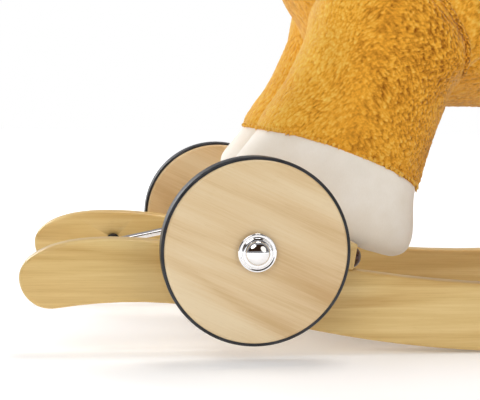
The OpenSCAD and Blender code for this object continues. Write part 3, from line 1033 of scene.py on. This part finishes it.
def hem_tufts(end, side, rng):
    """Short loose locks that hang over the hem of a leg, with a longer one at its rear."""
    strands = []
    for angle in np.append(np.arange(0, 2 * math.pi, HEM_STEP), [0.06, -0.05]):
        a = angle + 0.05 * rng.random()
        c, s = math.cos(a), math.sin(a)
        last = abs(angle) < 0.07
        long = 6.5 if last else 2.0 + 2.6 * rng.random()
        outward = c / 62 * LEG_BACK + np.array([0, s / HEM_WIDE, 0])
        outward /= np.linalg.norm(outward)
        back = HEM_HALF * math.copysign(abs(c) ** (2 / ROUND_CORNER), c)
        wide = HEM_WIDE * math.copysign(abs(s) ** (2 / ROUND_CORNER), s)
        root = LEG_FOOT + (HEM_UP + 2.4 + HEM_BOW * s * s) * LEG_UP + back * LEG_BACK
        root = root + np.array([0, wide - LEG_Y, 0])
        sweep = 0.5 * (rng.random() - 0.35) * long * LEG_BACK
        path = [root + outward * (0.6 + (1.9 if last else 0.9) * u) - LEG_UP * long * u * 0.9 + sweep * u * u
                for u in np.linspace(0, 1, 5)]
        strands.append(lock(path, 1.15, 0.6, angle, outward, 8))
    obj = mirrored(joined(f"{end}_leg_{side}_hem", strands), (-ENDS[end], -SIDES[side], 1))
    points = points_of(obj)
    # The tufts' pile height, which the plush material turns into painted shade at the roots, varies at
    # random.
    shade(obj, "tip", 0.70 + 0.14 * soft_noise(points, 1.6, 33))
    shade(obj, "fan", leg_fan(points))
    place(obj, "golden")


def legs():
    """The four legs, with finer pile on the front ones, which the camera is close to."""
    base = leg_base()
    rng = np.random.default_rng(3)
    fine = {"front": 3, "rear": 2}
    made = {}
    for end, side in itertools.product(ENDS, SIDES):
        name = f"{end}_leg_{side}"
        obj = copied(base, f"{name}_fur", (-ENDS[end], -SIDES[side], 1))
        subdivide(obj, fine[end])
        flows = [np.array([-ENDS[end] * x, 0.06 * SIDES[side], z]) for x, z in (FRONT_FLOW, REAR_FLOW)]
        coarse = 1.0 if end == "front" else 1.35
        comb(obj, flows[0], 2.0, 4.6 * coarse, 1.75 * coarse, 20 + len(made), calm=leg_calm,
             second=flows[1], fan=leg_fan)
        place(obj, "golden", name)
        hem_tufts(end, side, rng)
        made[end, side] = obj
    bpy.data.objects.remove(base)
    return made


def hooves():
    """Padded cuffs with small folds low down, clear of the boards and of the folding axles."""
    base = skin("hoof_base", leg_rings(HOOF_KEYS, 5, 26, 56, 20, 90))
    puff(base, 2.0, 1.2)
    subdivide(base, 1)
    points = points_of(base)
    rel = points - LEG_FOOT
    up = rel @ LEG_UP
    folds = soft_noise(points * np.array([1.0, 1.0, 0.25]), 9, 71) * np.clip(1 - up / 60, 0, 1)
    swell(base, 0.5 * folds)
    move_points(base, keep_clear(points_of(base)))
    subdivide(base, 1)
    for end, side in itertools.product(ENDS, SIDES):
        name = f"{end}_hoof_{side}"
        obj = copied(base, f"{name}_cloth", (-ENDS[end], -SIDES[side], 1))
        place(obj, "cream", name)
    bpy.data.objects.remove(base)


def belly_seam(points):
    """Height of the seam between the flanks and the belly over each point."""
    ahead = np.clip(np.abs(points[:, 0]) - 22, 0, 40)
    return 207 - 17 * (ahead / 28) ** 2


def body_skin():
    """Barrel, chest and rump under one skin, with a creased seam along each side of the belly."""
    barrel = capsule((-BARREL_HALF, 0, BARREL_Z), BARREL_R, (BARREL_HALF, 0, BARREL_Z), BARREL_R)
    near = np.array(CHEST) + np.array([0.5, 0, 0])
    chest = capsule(CHEST, CHEST_R, near, CHEST_R)
    rump = capsule(RUMP, RUMP_R, np.array(RUMP) + np.array([0.5, 0, 0]), RUMP_R)
    obj = remeshed("body_plush_fur", [barrel, chest, rump], 6, 5)
    puff(obj, 2.5, 1.5)
    subdivide(obj, 2)
    points = points_of(obj)
    over = points[:, 2] - belly_seam(points)
    side = np.clip((np.abs(points[:, 1]) - 25) / 15, 0, 1)
    sink = 1.9 * np.exp(-(over / 2.2) ** 2) + 1.7 / (1 + np.exp(np.clip(over / 1.5, -40, 40)))
    middle = np.clip((95 - np.abs(points[:, 0])) / 30, 0, 1)
    swell(obj, -sink * side * middle)
    return obj


def tree_of(obj):
    graph = bpy.context.evaluated_depsgraph_get()
    return BVHTree.FromObject(obj, graph)


def cast(tree, start, direction):
    """First hit of a ray in millimetres, or None."""
    hit = tree.ray_cast(Vector(start) * MM, Vector(direction))[0]
    return None if hit is None else np.array(hit) / MM


SHOULDER_SEAM = [                    # up the leg and behind its axis
    (138, 61), (143, 59.5), (149, 57), (156, 54), (163, 50), (169.5, 42), (175, 33), (181, 22), (186, 8),
    (188, -8), (186, -24), (180, -38), (170, -48)
]


def seam_path(leg, body, end, side):
    """The seam where a leg is sewn to the body, laid on whichever skin is outermost."""
    trees = tree_of(leg), tree_of(body)
    path = []
    for up, back in smooth_keys(SHOULDER_SEAM, 3):
        at = LEG_FOOT + up * LEG_UP + back * LEG_BACK
        start = (-ENDS[end] * at[0], SIDES[side] * 200, at[2])
        hits = [cast(tree, start, (0, -SIDES[side], 0)) for tree in trees]
        hits = [hit for hit in hits if hit is not None]
        if hits:
            path.append(max(hits, key=lambda hit: abs(hit[1])) + np.array([0, 0.9 * SIDES[side], 0]))
    return np.array(path)


def welt(name, path, radius):
    """A raised furry seam along a path, gathered like a rope."""
    rows = resample(smooth_keys(path, 3), max(12, int(len(path) * 5)))
    for _ in range(6):
        rows[1:-1] = (rows[:-2] + 2 * rows[1:-1] + rows[2:]) / 4
    ends = np.clip(np.minimum(np.arange(len(rows)), np.arange(len(rows))[::-1]) / 6, 0.25, 1)
    obj = tube(name, rows, radius, 12, taper=ends)
    subdivide(obj, 2)
    points = points_of(obj)
    swell(obj, 0.9 * (soft_noise(points, 4.6, 91) + 0.5 * soft_noise(points, 2.0, 92)))
    comb(obj, (0.5, 0, -0.8), 1.3, 3.4, 1.5, seed=90)
    place(obj, "golden")
    return obj


# ==== neck and head ====

NECK = [((-108, 0, 330), 66), ((-160, 0, 430), 48), ((-190, 0, 490), 52), ((-246, 0, 458), 42)]
JAW = ((-206, 0, 462), 43)
MUZZLE = [((-284, 0, 428), 36), ((-300, 0, 413), 33)]
MUZZLE_SLIM = 0.96
HEAD_AXIS = np.array([-56.0, 0, -32.0]) / math.hypot(56, 32)
HEAD_UP = np.array([HEAD_AXIS[2], 0, -HEAD_AXIS[0]])
POLL = np.array(NECK[2][0], float)
EYE_AT = np.array([-222.0, 38.5, 492.0])
EYE_R = 9.0


def neck_and_head():
    shrink = 0.8                     # room for the pile
    parts = []
    for (p, r), (q, t) in zip(NECK, NECK[1:]):
        parts.append(capsule(p, r - shrink, q, t - shrink))
    parts.append(capsule(JAW[0], JAW[1], (-232, 0, 446), 39))
    obj = remeshed("neck_head_plush_fur", parts, 5, 9)
    puff(obj, 2.5, 1.5)
    subdivide(obj, 2)
    points = points_of(obj)
    for side in SIDES.values():
        away = np.linalg.norm(points - EYE_AT * (1, side, 1), axis=1)
        points -= normals_of(obj) * (2.6 * np.exp(-(away / 13) ** 2))[:, None]
    move_points(obj, points)
    smooth_head = copied(obj, "smooth_head")
    comb(obj, (0.45, 0, -0.75), 1.9, 6.2, 2.6, 50, calm=half_calm)
    place(obj, "golden", "neck_head_plush")
    return obj, smooth_head


def muzzle():
    """The cream muzzle, slightly narrow, with soft dents."""
    (p, r), (q, t) = MUZZLE
    obj = capsule(p, r, q, t)
    obj.name = "muzzle_cloth"
    move_points(obj, points_of(obj) * (1, MUZZLE_SLIM, 1))
    subdivide(obj, 1)
    puff(obj, 2.0, 1.2)
    subdivide(obj, 1)
    swell(obj, 0.35 * soft_noise(points_of(obj), 11, 61))
    place(obj, "muzzle", "muzzle_plush")
    return obj


def muzzle_stitching(skin_obj):
    """Embroidered nostrils and mouth line on the muzzle."""
    tree = tree_of(skin_obj)
    middle = np.array(MUZZLE[1][0], float)
    parts = []

    def at(turn, lift):
        level = math.cos(lift)
        direction = np.array([-math.cos(turn) * level, math.sin(turn) * level, math.sin(lift)])
        return cast(tree, middle + direction * 80, -direction)

    mouth = [at(turn, -0.62 + 0.34 * (turn / 0.95) ** 2) for turn in np.linspace(-0.95, 0.95, 25)]
    parts.append(tube("mouth", mouth, 0.9, 8))
    for side in SIDES.values():
        rows = []
        for k in range(9):
            swing = 0.05 * (1 if k % 2 else -1) * (2.2 - abs(k - 4) * 0.45)
            rows.append(at(side * (0.42 + 0.022 * k), 0.22 + swing))
        parts.append(tube("nostril", rows, 1.0, 8))
    obj = joined("muzzle_stitching", parts)
    return place(obj, "dark_thread")


EAR_BASE = np.array([-171.0, 33.0, 526.0])
EAR_TIP = np.array([-184.0, 42.0, 594.0])
EAR_KEYS = [                         # share of the height, half width, half thickness
    (0.0, 10, 6.5), (0.2, 13.2, 6), (0.45, 13.6, 4.8), (0.7, 10.4, 3.8), (0.88, 6, 2.8), (1.0, 1.4, 1.2)
]


def ear_shape(name, side, widen, thin, forward, start=0.0):
    """A leaf with its edges curled forwards. widen and thin scale its width and thickness."""
    rise = EAR_TIP - EAR_BASE
    up = rise / np.linalg.norm(rise)
    face = np.array([-0.8, 0.6, 0.0])
    face -= up * (face @ up)
    face /= np.linalg.norm(face)
    across = np.cross(up, face)
    rings = []
    for at, wide, thick in smooth_keys(EAR_KEYS, 4):
        at = start + (1 - start - 0.06 * (start > 0)) * at
        ring = []
        for a in circle(28):
            w, f = wide * widen * math.cos(a), thick * thin * math.sin(a)
            curl = 5.5 * (math.cos(a) * widen) ** 2 * (1 - 0.6 * at)
            point = EAR_BASE + rise * at + across * w + face * (f + curl + forward)
            ring.append(point * (1, SIDES[side], 1))
        rings.append(ring)
    return skin(name, rings)


def ears():
    """Curled ears with a cream lining."""
    for side in SIDES:
        obj = ear_shape(f"ear_{side}_fur", side, 1.0, 1.0, 0)
        puff(obj, 1.5, 0.6)
        subdivide(obj, 2)
        comb(obj, (0.1, 0, 1.0), 1.1, 4.5, 2.2, 56, calm=half_calm)
        place(obj, "golden", f"ear_{side}")
        lining = ear_shape(f"ear_{side}_lining", side, 0.66, 0.5, 3.4, 0.1)
        subdivide(lining, 1)
        place(lining, "cream")


def eyes():
    """Domed glass eyes under furry lids."""
    balls, lids = [], []
    for side in SIDES.values():
        centre = EYE_AT * (1, side, 1)
        axis = np.array([0.0, side, 0.0])
        rows = [(EYE_R * math.sin(a), EYE_R * math.cos(a)) for a in np.linspace(-1.5, 1.5, 25)]

        def point(along, a, b, centre=centre, axis=axis):
            return tuple(centre + along * axis + np.array([a, 0, b]))
        balls.append(lathe("eye", rows, point, 48))
        arc = []
        for a in np.linspace(-0.5, math.pi + 0.35, 22):
            ring = np.array([-math.cos(a), 0, math.sin(a)]) * (EYE_R + 0.2)
            arc.append(centre + ring + axis * 1.2)
        taper = np.clip(np.sin(np.linspace(0.15, 3.0, 22)) * 1.3, 0.3, 1)
        lids.append(tube("lid", arc, 2.3, 12, taper=taper))
    place(joined("eyes_glass", balls), "eye", "eyes")
    lid = joined("eye_lids", lids)
    subdivide(lid, 1)
    comb(lid, (0.7, 0, -0.4), 0.9, 3.5, 1.7, seed=58)
    place(lid, "golden")


# ==== mane and tail ====

def lock(path, width, thick, seed, facing, around=14):
    """One lock of long pile: a flat tapering strand with grooves along it."""
    path = np.asarray(path, float)
    count = len(path)
    tangents = np.gradient(path, axis=0)
    tangents /= np.linalg.norm(tangents, axis=1)[:, None]
    rings = []
    for i in range(count):
        share = i / (count - 1)
        flat = np.cross(tangents[i], facing)
        flat /= np.linalg.norm(flat)
        out = np.cross(flat, tangents[i])
        swell = math.sin(math.pi * min(1, share * 0.75 + 0.2)) ** 0.7 * (1 - 0.75 * share ** 3)
        ring = []
        for a in circle(around):
            groove = 1 + 0.22 * math.cos(5 * a + seed + 2 * share)
            ring.append(path[i] + swell * groove * (width * math.cos(a) * flat + thick * math.sin(a) * out))
        rings.append(ring)
    return skin("lock", rings)


def mane(head):
    """Rows of short locks that rise from the crest and fall to both sides, from withers to forelock."""
    tree = tree_of(head)
    crest = [
        (-64, 372), (-92, 420), (-116, 462), (-134, 506), (-160, 538), (-196, 546), (-226, 528), (-246, 502)
    ]
    spine = [
        (-108, 330), (-122, 360), (-146, 408), (-166, 450), (-182, 484), (-194, 490), (-212, 478), (-228, 470)
    ]
    rng = np.random.default_rng(7)
    path = resample(np.column_stack([smooth_keys(crest, 6), smooth_keys(spine, 6)]), 46)
    locks = []
    for i, (x, z, cx, cz) in enumerate(path):
        centre = np.array([cx, 0, cz])
        out = np.array([x, 0, z]) - centre
        out /= np.linalg.norm(out)
        hit = cast(tree, centre, out)
        if hit is None:
            continue
        along = np.array([out[2], 0, -out[0]])
        for row, lean in ((0, 0.25), (1, 0.65), (2, 1.0)):
            for side in (-1, 1):
                reach = (27 + 5 * rng.random()) * (0.55 + 0.45 * lean)
                height = (13 - 5 * lean) * (0.85 + 0.4 * rng.random())
                sweep = (6 + 8 * rng.random()) * (1 if i % 2 else 0.5)
                root = hit - out * 3 + along * (rng.random() * 5 - 2.5)
                strand = []
                for u in np.linspace(0, 1, 9):
                    rise = height * math.sin(math.pi * min(1, 0.12 + 0.72 * u)) + 3
                    fall = (8 + 7 * lean) * u ** 2
                    spread = reach * lean * u ** 0.9 + 2 + 1.5 * math.sin(5 * u + i)
                    strand.append(root + out * (rise - fall + 4 * (1 - lean) * u)
                                  + np.array([0, side * spread, 0]) + along * sweep * u ** 1.6)
                locks.append(lock(strand, 4.6, 2.4, i + row, out + np.array([0, 0.6 * side, 0])))
    obj = joined("mane_locks", locks)
    subdivide(obj, 1)
    comb(obj, (0.4, 0, -0.8), 0.7, 9, 1.4, seed=80)
    place(obj, "mane", "mane_plush")


def tail():
    """A hanging bundle of long locks from the dock."""
    keys = [(166, 298, 9), (196, 290, 13), (222, 262, 17), (236, 224, 19), (241, 190, 14), (243, 166, 5)]
    route = smooth_keys(keys, 4)
    rng = np.random.default_rng(11)
    locks = []
    for layer, count in ((1.0, 22), (0.62, 14), (0.25, 6)):
        for k in range(count):
            angle = 2 * math.pi * (k + 0.5 * (layer < 1)) / count
            phase, wave = rng.random() * 6.3, 1.5 + 1.5 * rng.random()
            stop = int(len(route) * (0.84 + 0.16 * rng.random()))
            strand = []
            for i, (x, z, r) in enumerate(route[:stop]):
                bend = wave * math.sin(phase + i * 0.45)
                reach = r * layer + bend
                strand.append((x + reach * math.cos(angle), reach * math.sin(angle) * 1.05,
                               z + 0.35 * r * layer * math.cos(angle)))
            locks.append(lock(strand, 5.0, 2.6, k, np.array([math.cos(angle), math.sin(angle), 0.15])))
    obj = joined("tail_locks", locks)
    subdivide(obj, 1)
    comb(obj, (0.3, 0, -0.95), 0.7, 10, 1.4, seed=84)
    place(obj, "mane", "tail_plush")


# ==== tack ====

def on_skin(tree, origin, direction, gap):
    """A point outside a skin, gap millimetres off it, straight out from origin."""
    direction = np.asarray(direction, float)
    hit = cast(tree, origin, direction)
    if hit is None:
        hit = np.asarray(origin, float) + 60 * direction
    return hit + direction * gap


def body_point(tree, x, angle, gap):
    return on_skin(tree, (x, 0, BARREL_Z), (0, math.sin(angle), math.cos(angle)), gap)


def head_point(tree, along, angle, gap):
    origin = POLL + HEAD_AXIS * along
    return on_skin(tree, origin, HEAD_UP * math.cos(angle) + np.array([0, math.sin(angle), 0]), gap)


def layer(name, at, u_steps, v_steps, low, high):
    """A closed sheet with a thickness.

    at(u, v, gap) is a point, with u and v from -1 to 1. low and high give the gap of the under and the
    upper side at (u, v).
    """
    us, vs = np.linspace(-1, 1, u_steps), np.linspace(-1, 1, v_steps)
    points = [at(u, v, low(u, v)) for u in us for v in vs] + [at(u, v, high(u, v)) for u in us for v in vs]
    flat = u_steps * v_steps

    def index(i, j, top):
        return i * v_steps + j + top * flat

    faces = []
    for i in range(u_steps - 1):
        for j in range(v_steps - 1):
            quad = [(i, j), (i, j + 1), (i + 1, j + 1), (i + 1, j)]
            faces.append([index(*q, 1) for q in quad])
            faces.append([index(*q, 0) for q in reversed(quad)])
    rim = [(0, j) for j in range(v_steps - 1)] + [(i, v_steps - 1) for i in range(u_steps - 1)]
    rim += [(u_steps - 1, j) for j in range(v_steps - 1, 0, -1)] + [(i, 0) for i in range(u_steps - 1, 0, -1)]
    for a, b in zip(rim, rim[1:] + rim[:1]):
        faces.append([index(*a, 0), index(*b, 0), index(*b, 1), index(*a, 1)])
    return outwards(add_mesh(name, points, faces))


def rim_points(at, gap, inset=0.0, count=120):
    """Points round the edge of a layer, inset towards its middle."""
    side = 1 - inset
    rising = np.linspace(-side, side, count // 4, endpoint=False)
    falling = np.linspace(side, -side, count // 4, endpoint=False)
    loop = [(-side, v) for v in rising] + [(u, side) for u in rising]
    loop += [(side, v) for v in falling] + [(u, -side) for u in falling]
    return [at(u, v, gap) for u, v in loop]


def stitches(path, pitch=4.2, size=0.55):
    """Short raised stitches along a path."""
    rows = np.asarray(path, float)
    at = travelled(rows)
    parts = []
    for start in np.arange(0.5, at[-1] - pitch, pitch):
        bit = spots_along(rows, at, np.linspace(start, start + 0.66 * pitch, 4))
        parts.append(tube("stitch", bit, size, 6, taper=[0.4, 1, 1, 0.4]))
    return parts


BLANKET_X = (0.5, 44.0)              # middle and half length
BLANKET_TURN = math.radians(112)
SEAT_X = (4.5, 38.5)
SEAT_TURN = math.radians(56)
GIRTH_X = (7.0, 15.0)


def rounded(u, v, corner):
    """Pulls the corners of the square from -1 to 1 in to round ones."""
    p, q = max(0.0, abs(u) - (1 - corner)) / corner, max(0.0, abs(v) - (1 - corner)) / corner
    reach = math.hypot(p, q)
    if p > 0 and q > 0 and reach > 0:
        shrink = max(p, q) / reach
        p, q = p * shrink, q * shrink
        u = math.copysign(1 - corner + corner * p, u)
        v = math.copysign(1 - corner + corner * q, v)
    return u, v


def tack(body):
    """Blanket, padded seat and girth, with their bindings and stitches."""
    tree = tree_of(body)

    def blanket_at(u, v, gap):
        u, v = rounded(u, v, 0.22)
        return body_point(tree, BLANKET_X[0] + BLANKET_X[1] * u, BLANKET_TURN * v, gap)

    def seat_at(u, v, gap):
        u, v = rounded(u, v, 0.35)
        narrow = 1 - 0.16 * v * v
        return body_point(tree, SEAT_X[0] + SEAT_X[1] * u * narrow, SEAT_TURN * v, gap)

    def girth_at(u, v, gap):
        return body_point(tree, GIRTH_X[0] + GIRTH_X[1] * u, math.pi + math.radians(65) * v, gap)

    def seat_top(u, v):
        crown = (1 - abs(u) ** 3.4) ** 0.55 * (1 - abs(v) ** 3.4) ** 0.55
        rise = 1 + 0.22 * u * u
        channel = 2.6 * math.exp(-((abs(v) - 0.5) / 0.06) ** 2)
        channel += 1.8 * math.exp(-(u / 0.07) ** 2) * (abs(v) < 0.5)
        return 5.2 + max(0.0, 12.5 * crown * rise - channel * crown)

    blanket = layer("saddle_blanket_felt", blanket_at, 24, 76, lambda u, v: 1.2, lambda u, v: 3.6)
    subdivide(blanket, 1)
    place(blanket, "felt", "saddle_blanket")
    edge = np.array(rim_points(blanket_at, 2.4))
    turn = np.sum(np.linalg.norm(np.diff(np.array(
        [blanket_at(0, v, 2.4) for v in np.linspace(-1, 1, 60)]), axis=0), axis=1))
    binding = tube("blanket_binding", edge, 2.1, 10, closed_path=True)
    place(binding, "strap")

    seat = layer("saddle_seat_padded", seat_at, 22, 40, lambda u, v: 3.8, seat_top)
    puff(seat, 4.0, 1.6)
    subdivide(seat, 1)
    place(seat, "leather", "saddle_seat")
    piping = tube("seat_piping", rim_points(seat_at, 5.0), 2.0, 10, closed_path=True)
    place(piping, "strap")

    girth = layer("girth_strap_leather", girth_at, 8, 44, lambda u, v: 0.8,
                  lambda u, v: 3.2 + 0.4 * (1 - u * u))
    subdivide(girth, 1)
    place(girth, "strap", "girth_strap")

    threads = stitches(rim_points(blanket_at, 3.7, 0.13, 240))
    for v in (0.93, -0.93):
        threads += stitches([seat_at(u, v, 7.0) for u in np.linspace(-0.7, 0.7, 30)])
    for u in (-0.78, 0.78):
        threads += stitches([girth_at(u, v, 3.4) for v in np.linspace(-0.97, 0.97, 80)])
    place(joined("tack_stitching", threads), "thread")


def bridle(head):
    """Crown band, noseband and cheek straps round the head."""
    tree = tree_of(head)
    straps, threads = [], []

    def strap(name, along, half, turn_from, turn_to, steps):
        def at(u, v, gap):
            angle = (turn_from + turn_to) / 2 + (turn_to - turn_from) / 2 * v
            return head_point(tree, along + half * u, angle, gap)
        straps.append(layer(name, at, 6, steps, lambda u, v: 0.6, lambda u, v: 3.0 + 0.3 * (1 - u * u)))
        for u in (-0.7, 0.7):
            threads.extend(stitches([at(u, v, 3.2) for v in np.linspace(-0.98, 0.98, 90)], 3.6, 0.45))

    reach = math.radians(118)
    strap("crown", -4, 6, -reach, reach, 64)
    strap("nose", 62, 6, -math.pi, math.pi * 0.999, 80)
    for side in SIDES.values():
        strap("cheek", 29, 31, side * math.radians(104), side * math.radians(117), 8)
    obj = joined("bridle_leather", straps)
    place(obj, "strap", "bridle")
    place(joined("bridle_stitching", threads), "thread")


# ==== stage, light and camera ====

CAMERA_AT = (ROCKER_LOW[0] + 50.9, -895.5, 169.7)
CAMERA_TURN = (6.796, 4.677, 0.825)  # yaw, pitch and roll in degrees
CAMERA_LENS = 90


def add_camera():
    """Looks at the front lower corner from the horse's left, a little ahead of the wheels."""
    yaw, pitch, roll = (math.radians(angle) for angle in CAMERA_TURN)
    ahead = Vector((math.sin(yaw) * math.cos(pitch), math.cos(yaw) * math.cos(pitch), -math.sin(pitch)))
    level = Vector((math.cos(yaw), -math.sin(yaw), 0))
    upright = level.cross(ahead)
    right = level * math.cos(roll) + upright * math.sin(roll)
    up = upright * math.cos(roll) - level * math.sin(roll)
    data = bpy.data.cameras.new("camera")
    data.sensor_width = 36
    data.lens = CAMERA_LENS
    data.clip_start = 0.02
    data.clip_end = 50
    cam = linked("camera", data)
    matrix = Matrix((right, up, -ahead)).transposed().to_4x4()
    matrix.translation = Vector(CAMERA_AT) * MM
    cam.matrix_world = matrix
    scene.camera = cam


LIGHTS = [                           # name, place, aim, size (metres), power (watts), colour
    ("key", (-1.1, -1.5, 1.5), (-0.2, 0, 0.15), 1.3, 10.5, (1.0, 0.985, 0.96)),
    ("fill", (0.9, -1.5, 0.7), (-0.1, 0, 0.15), 1.2, 4.2, (1.0, 0.97, 0.92)),
    ("top", (0.1, 0.2, 2.2), (0, 0, 0.1), 1.0, 21, (1, 1, 1)),
    ("back", (-1.35, 1.3, 0.88), (-0.15, 0, 0.2), 1.0, 23, (1, 1, 1)),
]


def add_lights():
    """Soft round lights that the camera doesn't see."""
    for name, place_at, aim, size, power, colour in LIGHTS:
        data = bpy.data.lights.new(name, "AREA")
        data.shape = "DISK"
        data.size = size
        data.energy = power
        data.color = colour
        obj = linked(name, data)
        obj.location = place_at
        obj.rotation_euler = (Vector(aim) - Vector(place_at)).to_track_quat("-Z", "Y").to_euler()
        obj.visible_camera = False


CEILING = (0.38, 0.38, 0.39)
HORIZON = (0.51, 0.51, 0.52)
REFLECTED = (0.30, 0.30, 0.31)       # what polished parts see round the card
DARK_CARD = (0.035, 0.018, 0.010)


def add_world():
    """A white studio. Polished parts see a dark card above and in front of the horse's left side."""
    scene.world = bpy.data.worlds.new("studio")
    scene.world.use_nodes = True
    w = Nodes(scene.world.node_tree)
    rays = w.add("LightPath")
    parts = w.add("SeparateXYZ")
    w.link(w.add("TexCoord").outputs["Generated"], parts, 0)
    dome = w.mix(w.between(parts.outputs["Z"], 0.1, 0.95), HORIZON, CEILING)
    left = w.between(parts.outputs["Y"], -0.20, -0.45)
    raised = w.math("MULTIPLY", w.between(parts.outputs["Z"], 0.10, 0.16),
                    w.between(parts.outputs["Z"], 0.90, 0.75))
    card = w.math("MULTIPLY", w.math("MULTIPLY", left, raised), rays.outputs["Is Glossy Ray"])
    room = w.mix(card, w.mix(rays.outputs["Is Glossy Ray"], dome, REFLECTED), DARK_CARD)
    colour = w.mix(rays.outputs["Is Camera Ray"], room, (1.0, 1.0, 1.0))
    w.link(colour, w.nodes["Background"], "Color")


FLOOR_GLOW = 0.14                    # lifts the shadows on the white floor
BACKDROP_GLOW = 0.62                 # and the floor far from the horse


def add_floor():
    """White paper that glows faintly, and more so with distance (metres) from the middle."""
    half = 6000
    obj = add_mesh("floor", [(-half, -half, 0), (half, -half, 0), (half, half, 0), (-half, half, 0)],
                   [(0, 1, 2, 3)])
    s = Surface("floor_paper", Roughness=0.9, Specular_IOR_Level=0.1)
    fibre = s.grain(5, 2)
    s.colour(s.two_tone(fibre, (0.90, 0.90, 0.905), (0.93, 0.93, 0.935)))
    reach = s.add("VectorMath", operation="LENGTH")
    s.link(s.add("TexCoord").outputs["Object"], reach, 0)
    glow = s.between(reach.outputs["Value"], 0.5, 1.7, FLOOR_GLOW, BACKDROP_GLOW)
    s.shader.inputs["Emission Color"].default_value = (1, 1, 1, 1)
    s.link(glow, s.shader, "Emission Strength")
    obj.data.materials.append(s.material)


# ==== assembly ====

add_camera()
add_world()
add_floor()
add_lights()
scene.view_settings.view_transform = "Standard"

for side in SIDES:
    rounded_rocker(side)
for end in ENDS:
    board_shaped(end)
    hub_caps(end)
    for side in SIDES:
        wheel_disc(end, side)
        tyre_band(end, side)
safety_caps()
handle()
for end in ENDS:
    dress("chrome", f"{end}_axle", f"{end}_arm_left", f"{end}_arm_right", f"{end}_washers")
    dress("black_plastic", f"{end}_sleeves")
    dress("inner_wood", f"{end}_core_left", f"{end}_core_right")
dress("inner_wood", "spine_board", "neck_core")
dress("zinc", "board_screws", "board_edge_screws", "leg_bolts", "core_screws", "neck_bolt")
dress("black_plastic", "pivot_bushes")

hooves()
leg_pieces = legs()
body = body_skin()
tack(body)
for (end, side), leg in leg_pieces.items():
    welt(f"{end}_{side}_seam", seam_path(leg, body, end, side), 2.2)
comb(body, REAR_FLOW_3D, 1.9, 5.6, 2.4, 40, calm=half_calm)
place(body, "golden", "body_plush")
head, bare_head = neck_and_head()
mane(bare_head)
bridle(bare_head)
bpy.data.objects.remove(bare_head)
muzzle_stitching(muzzle())
ears()
eyes()
tail()
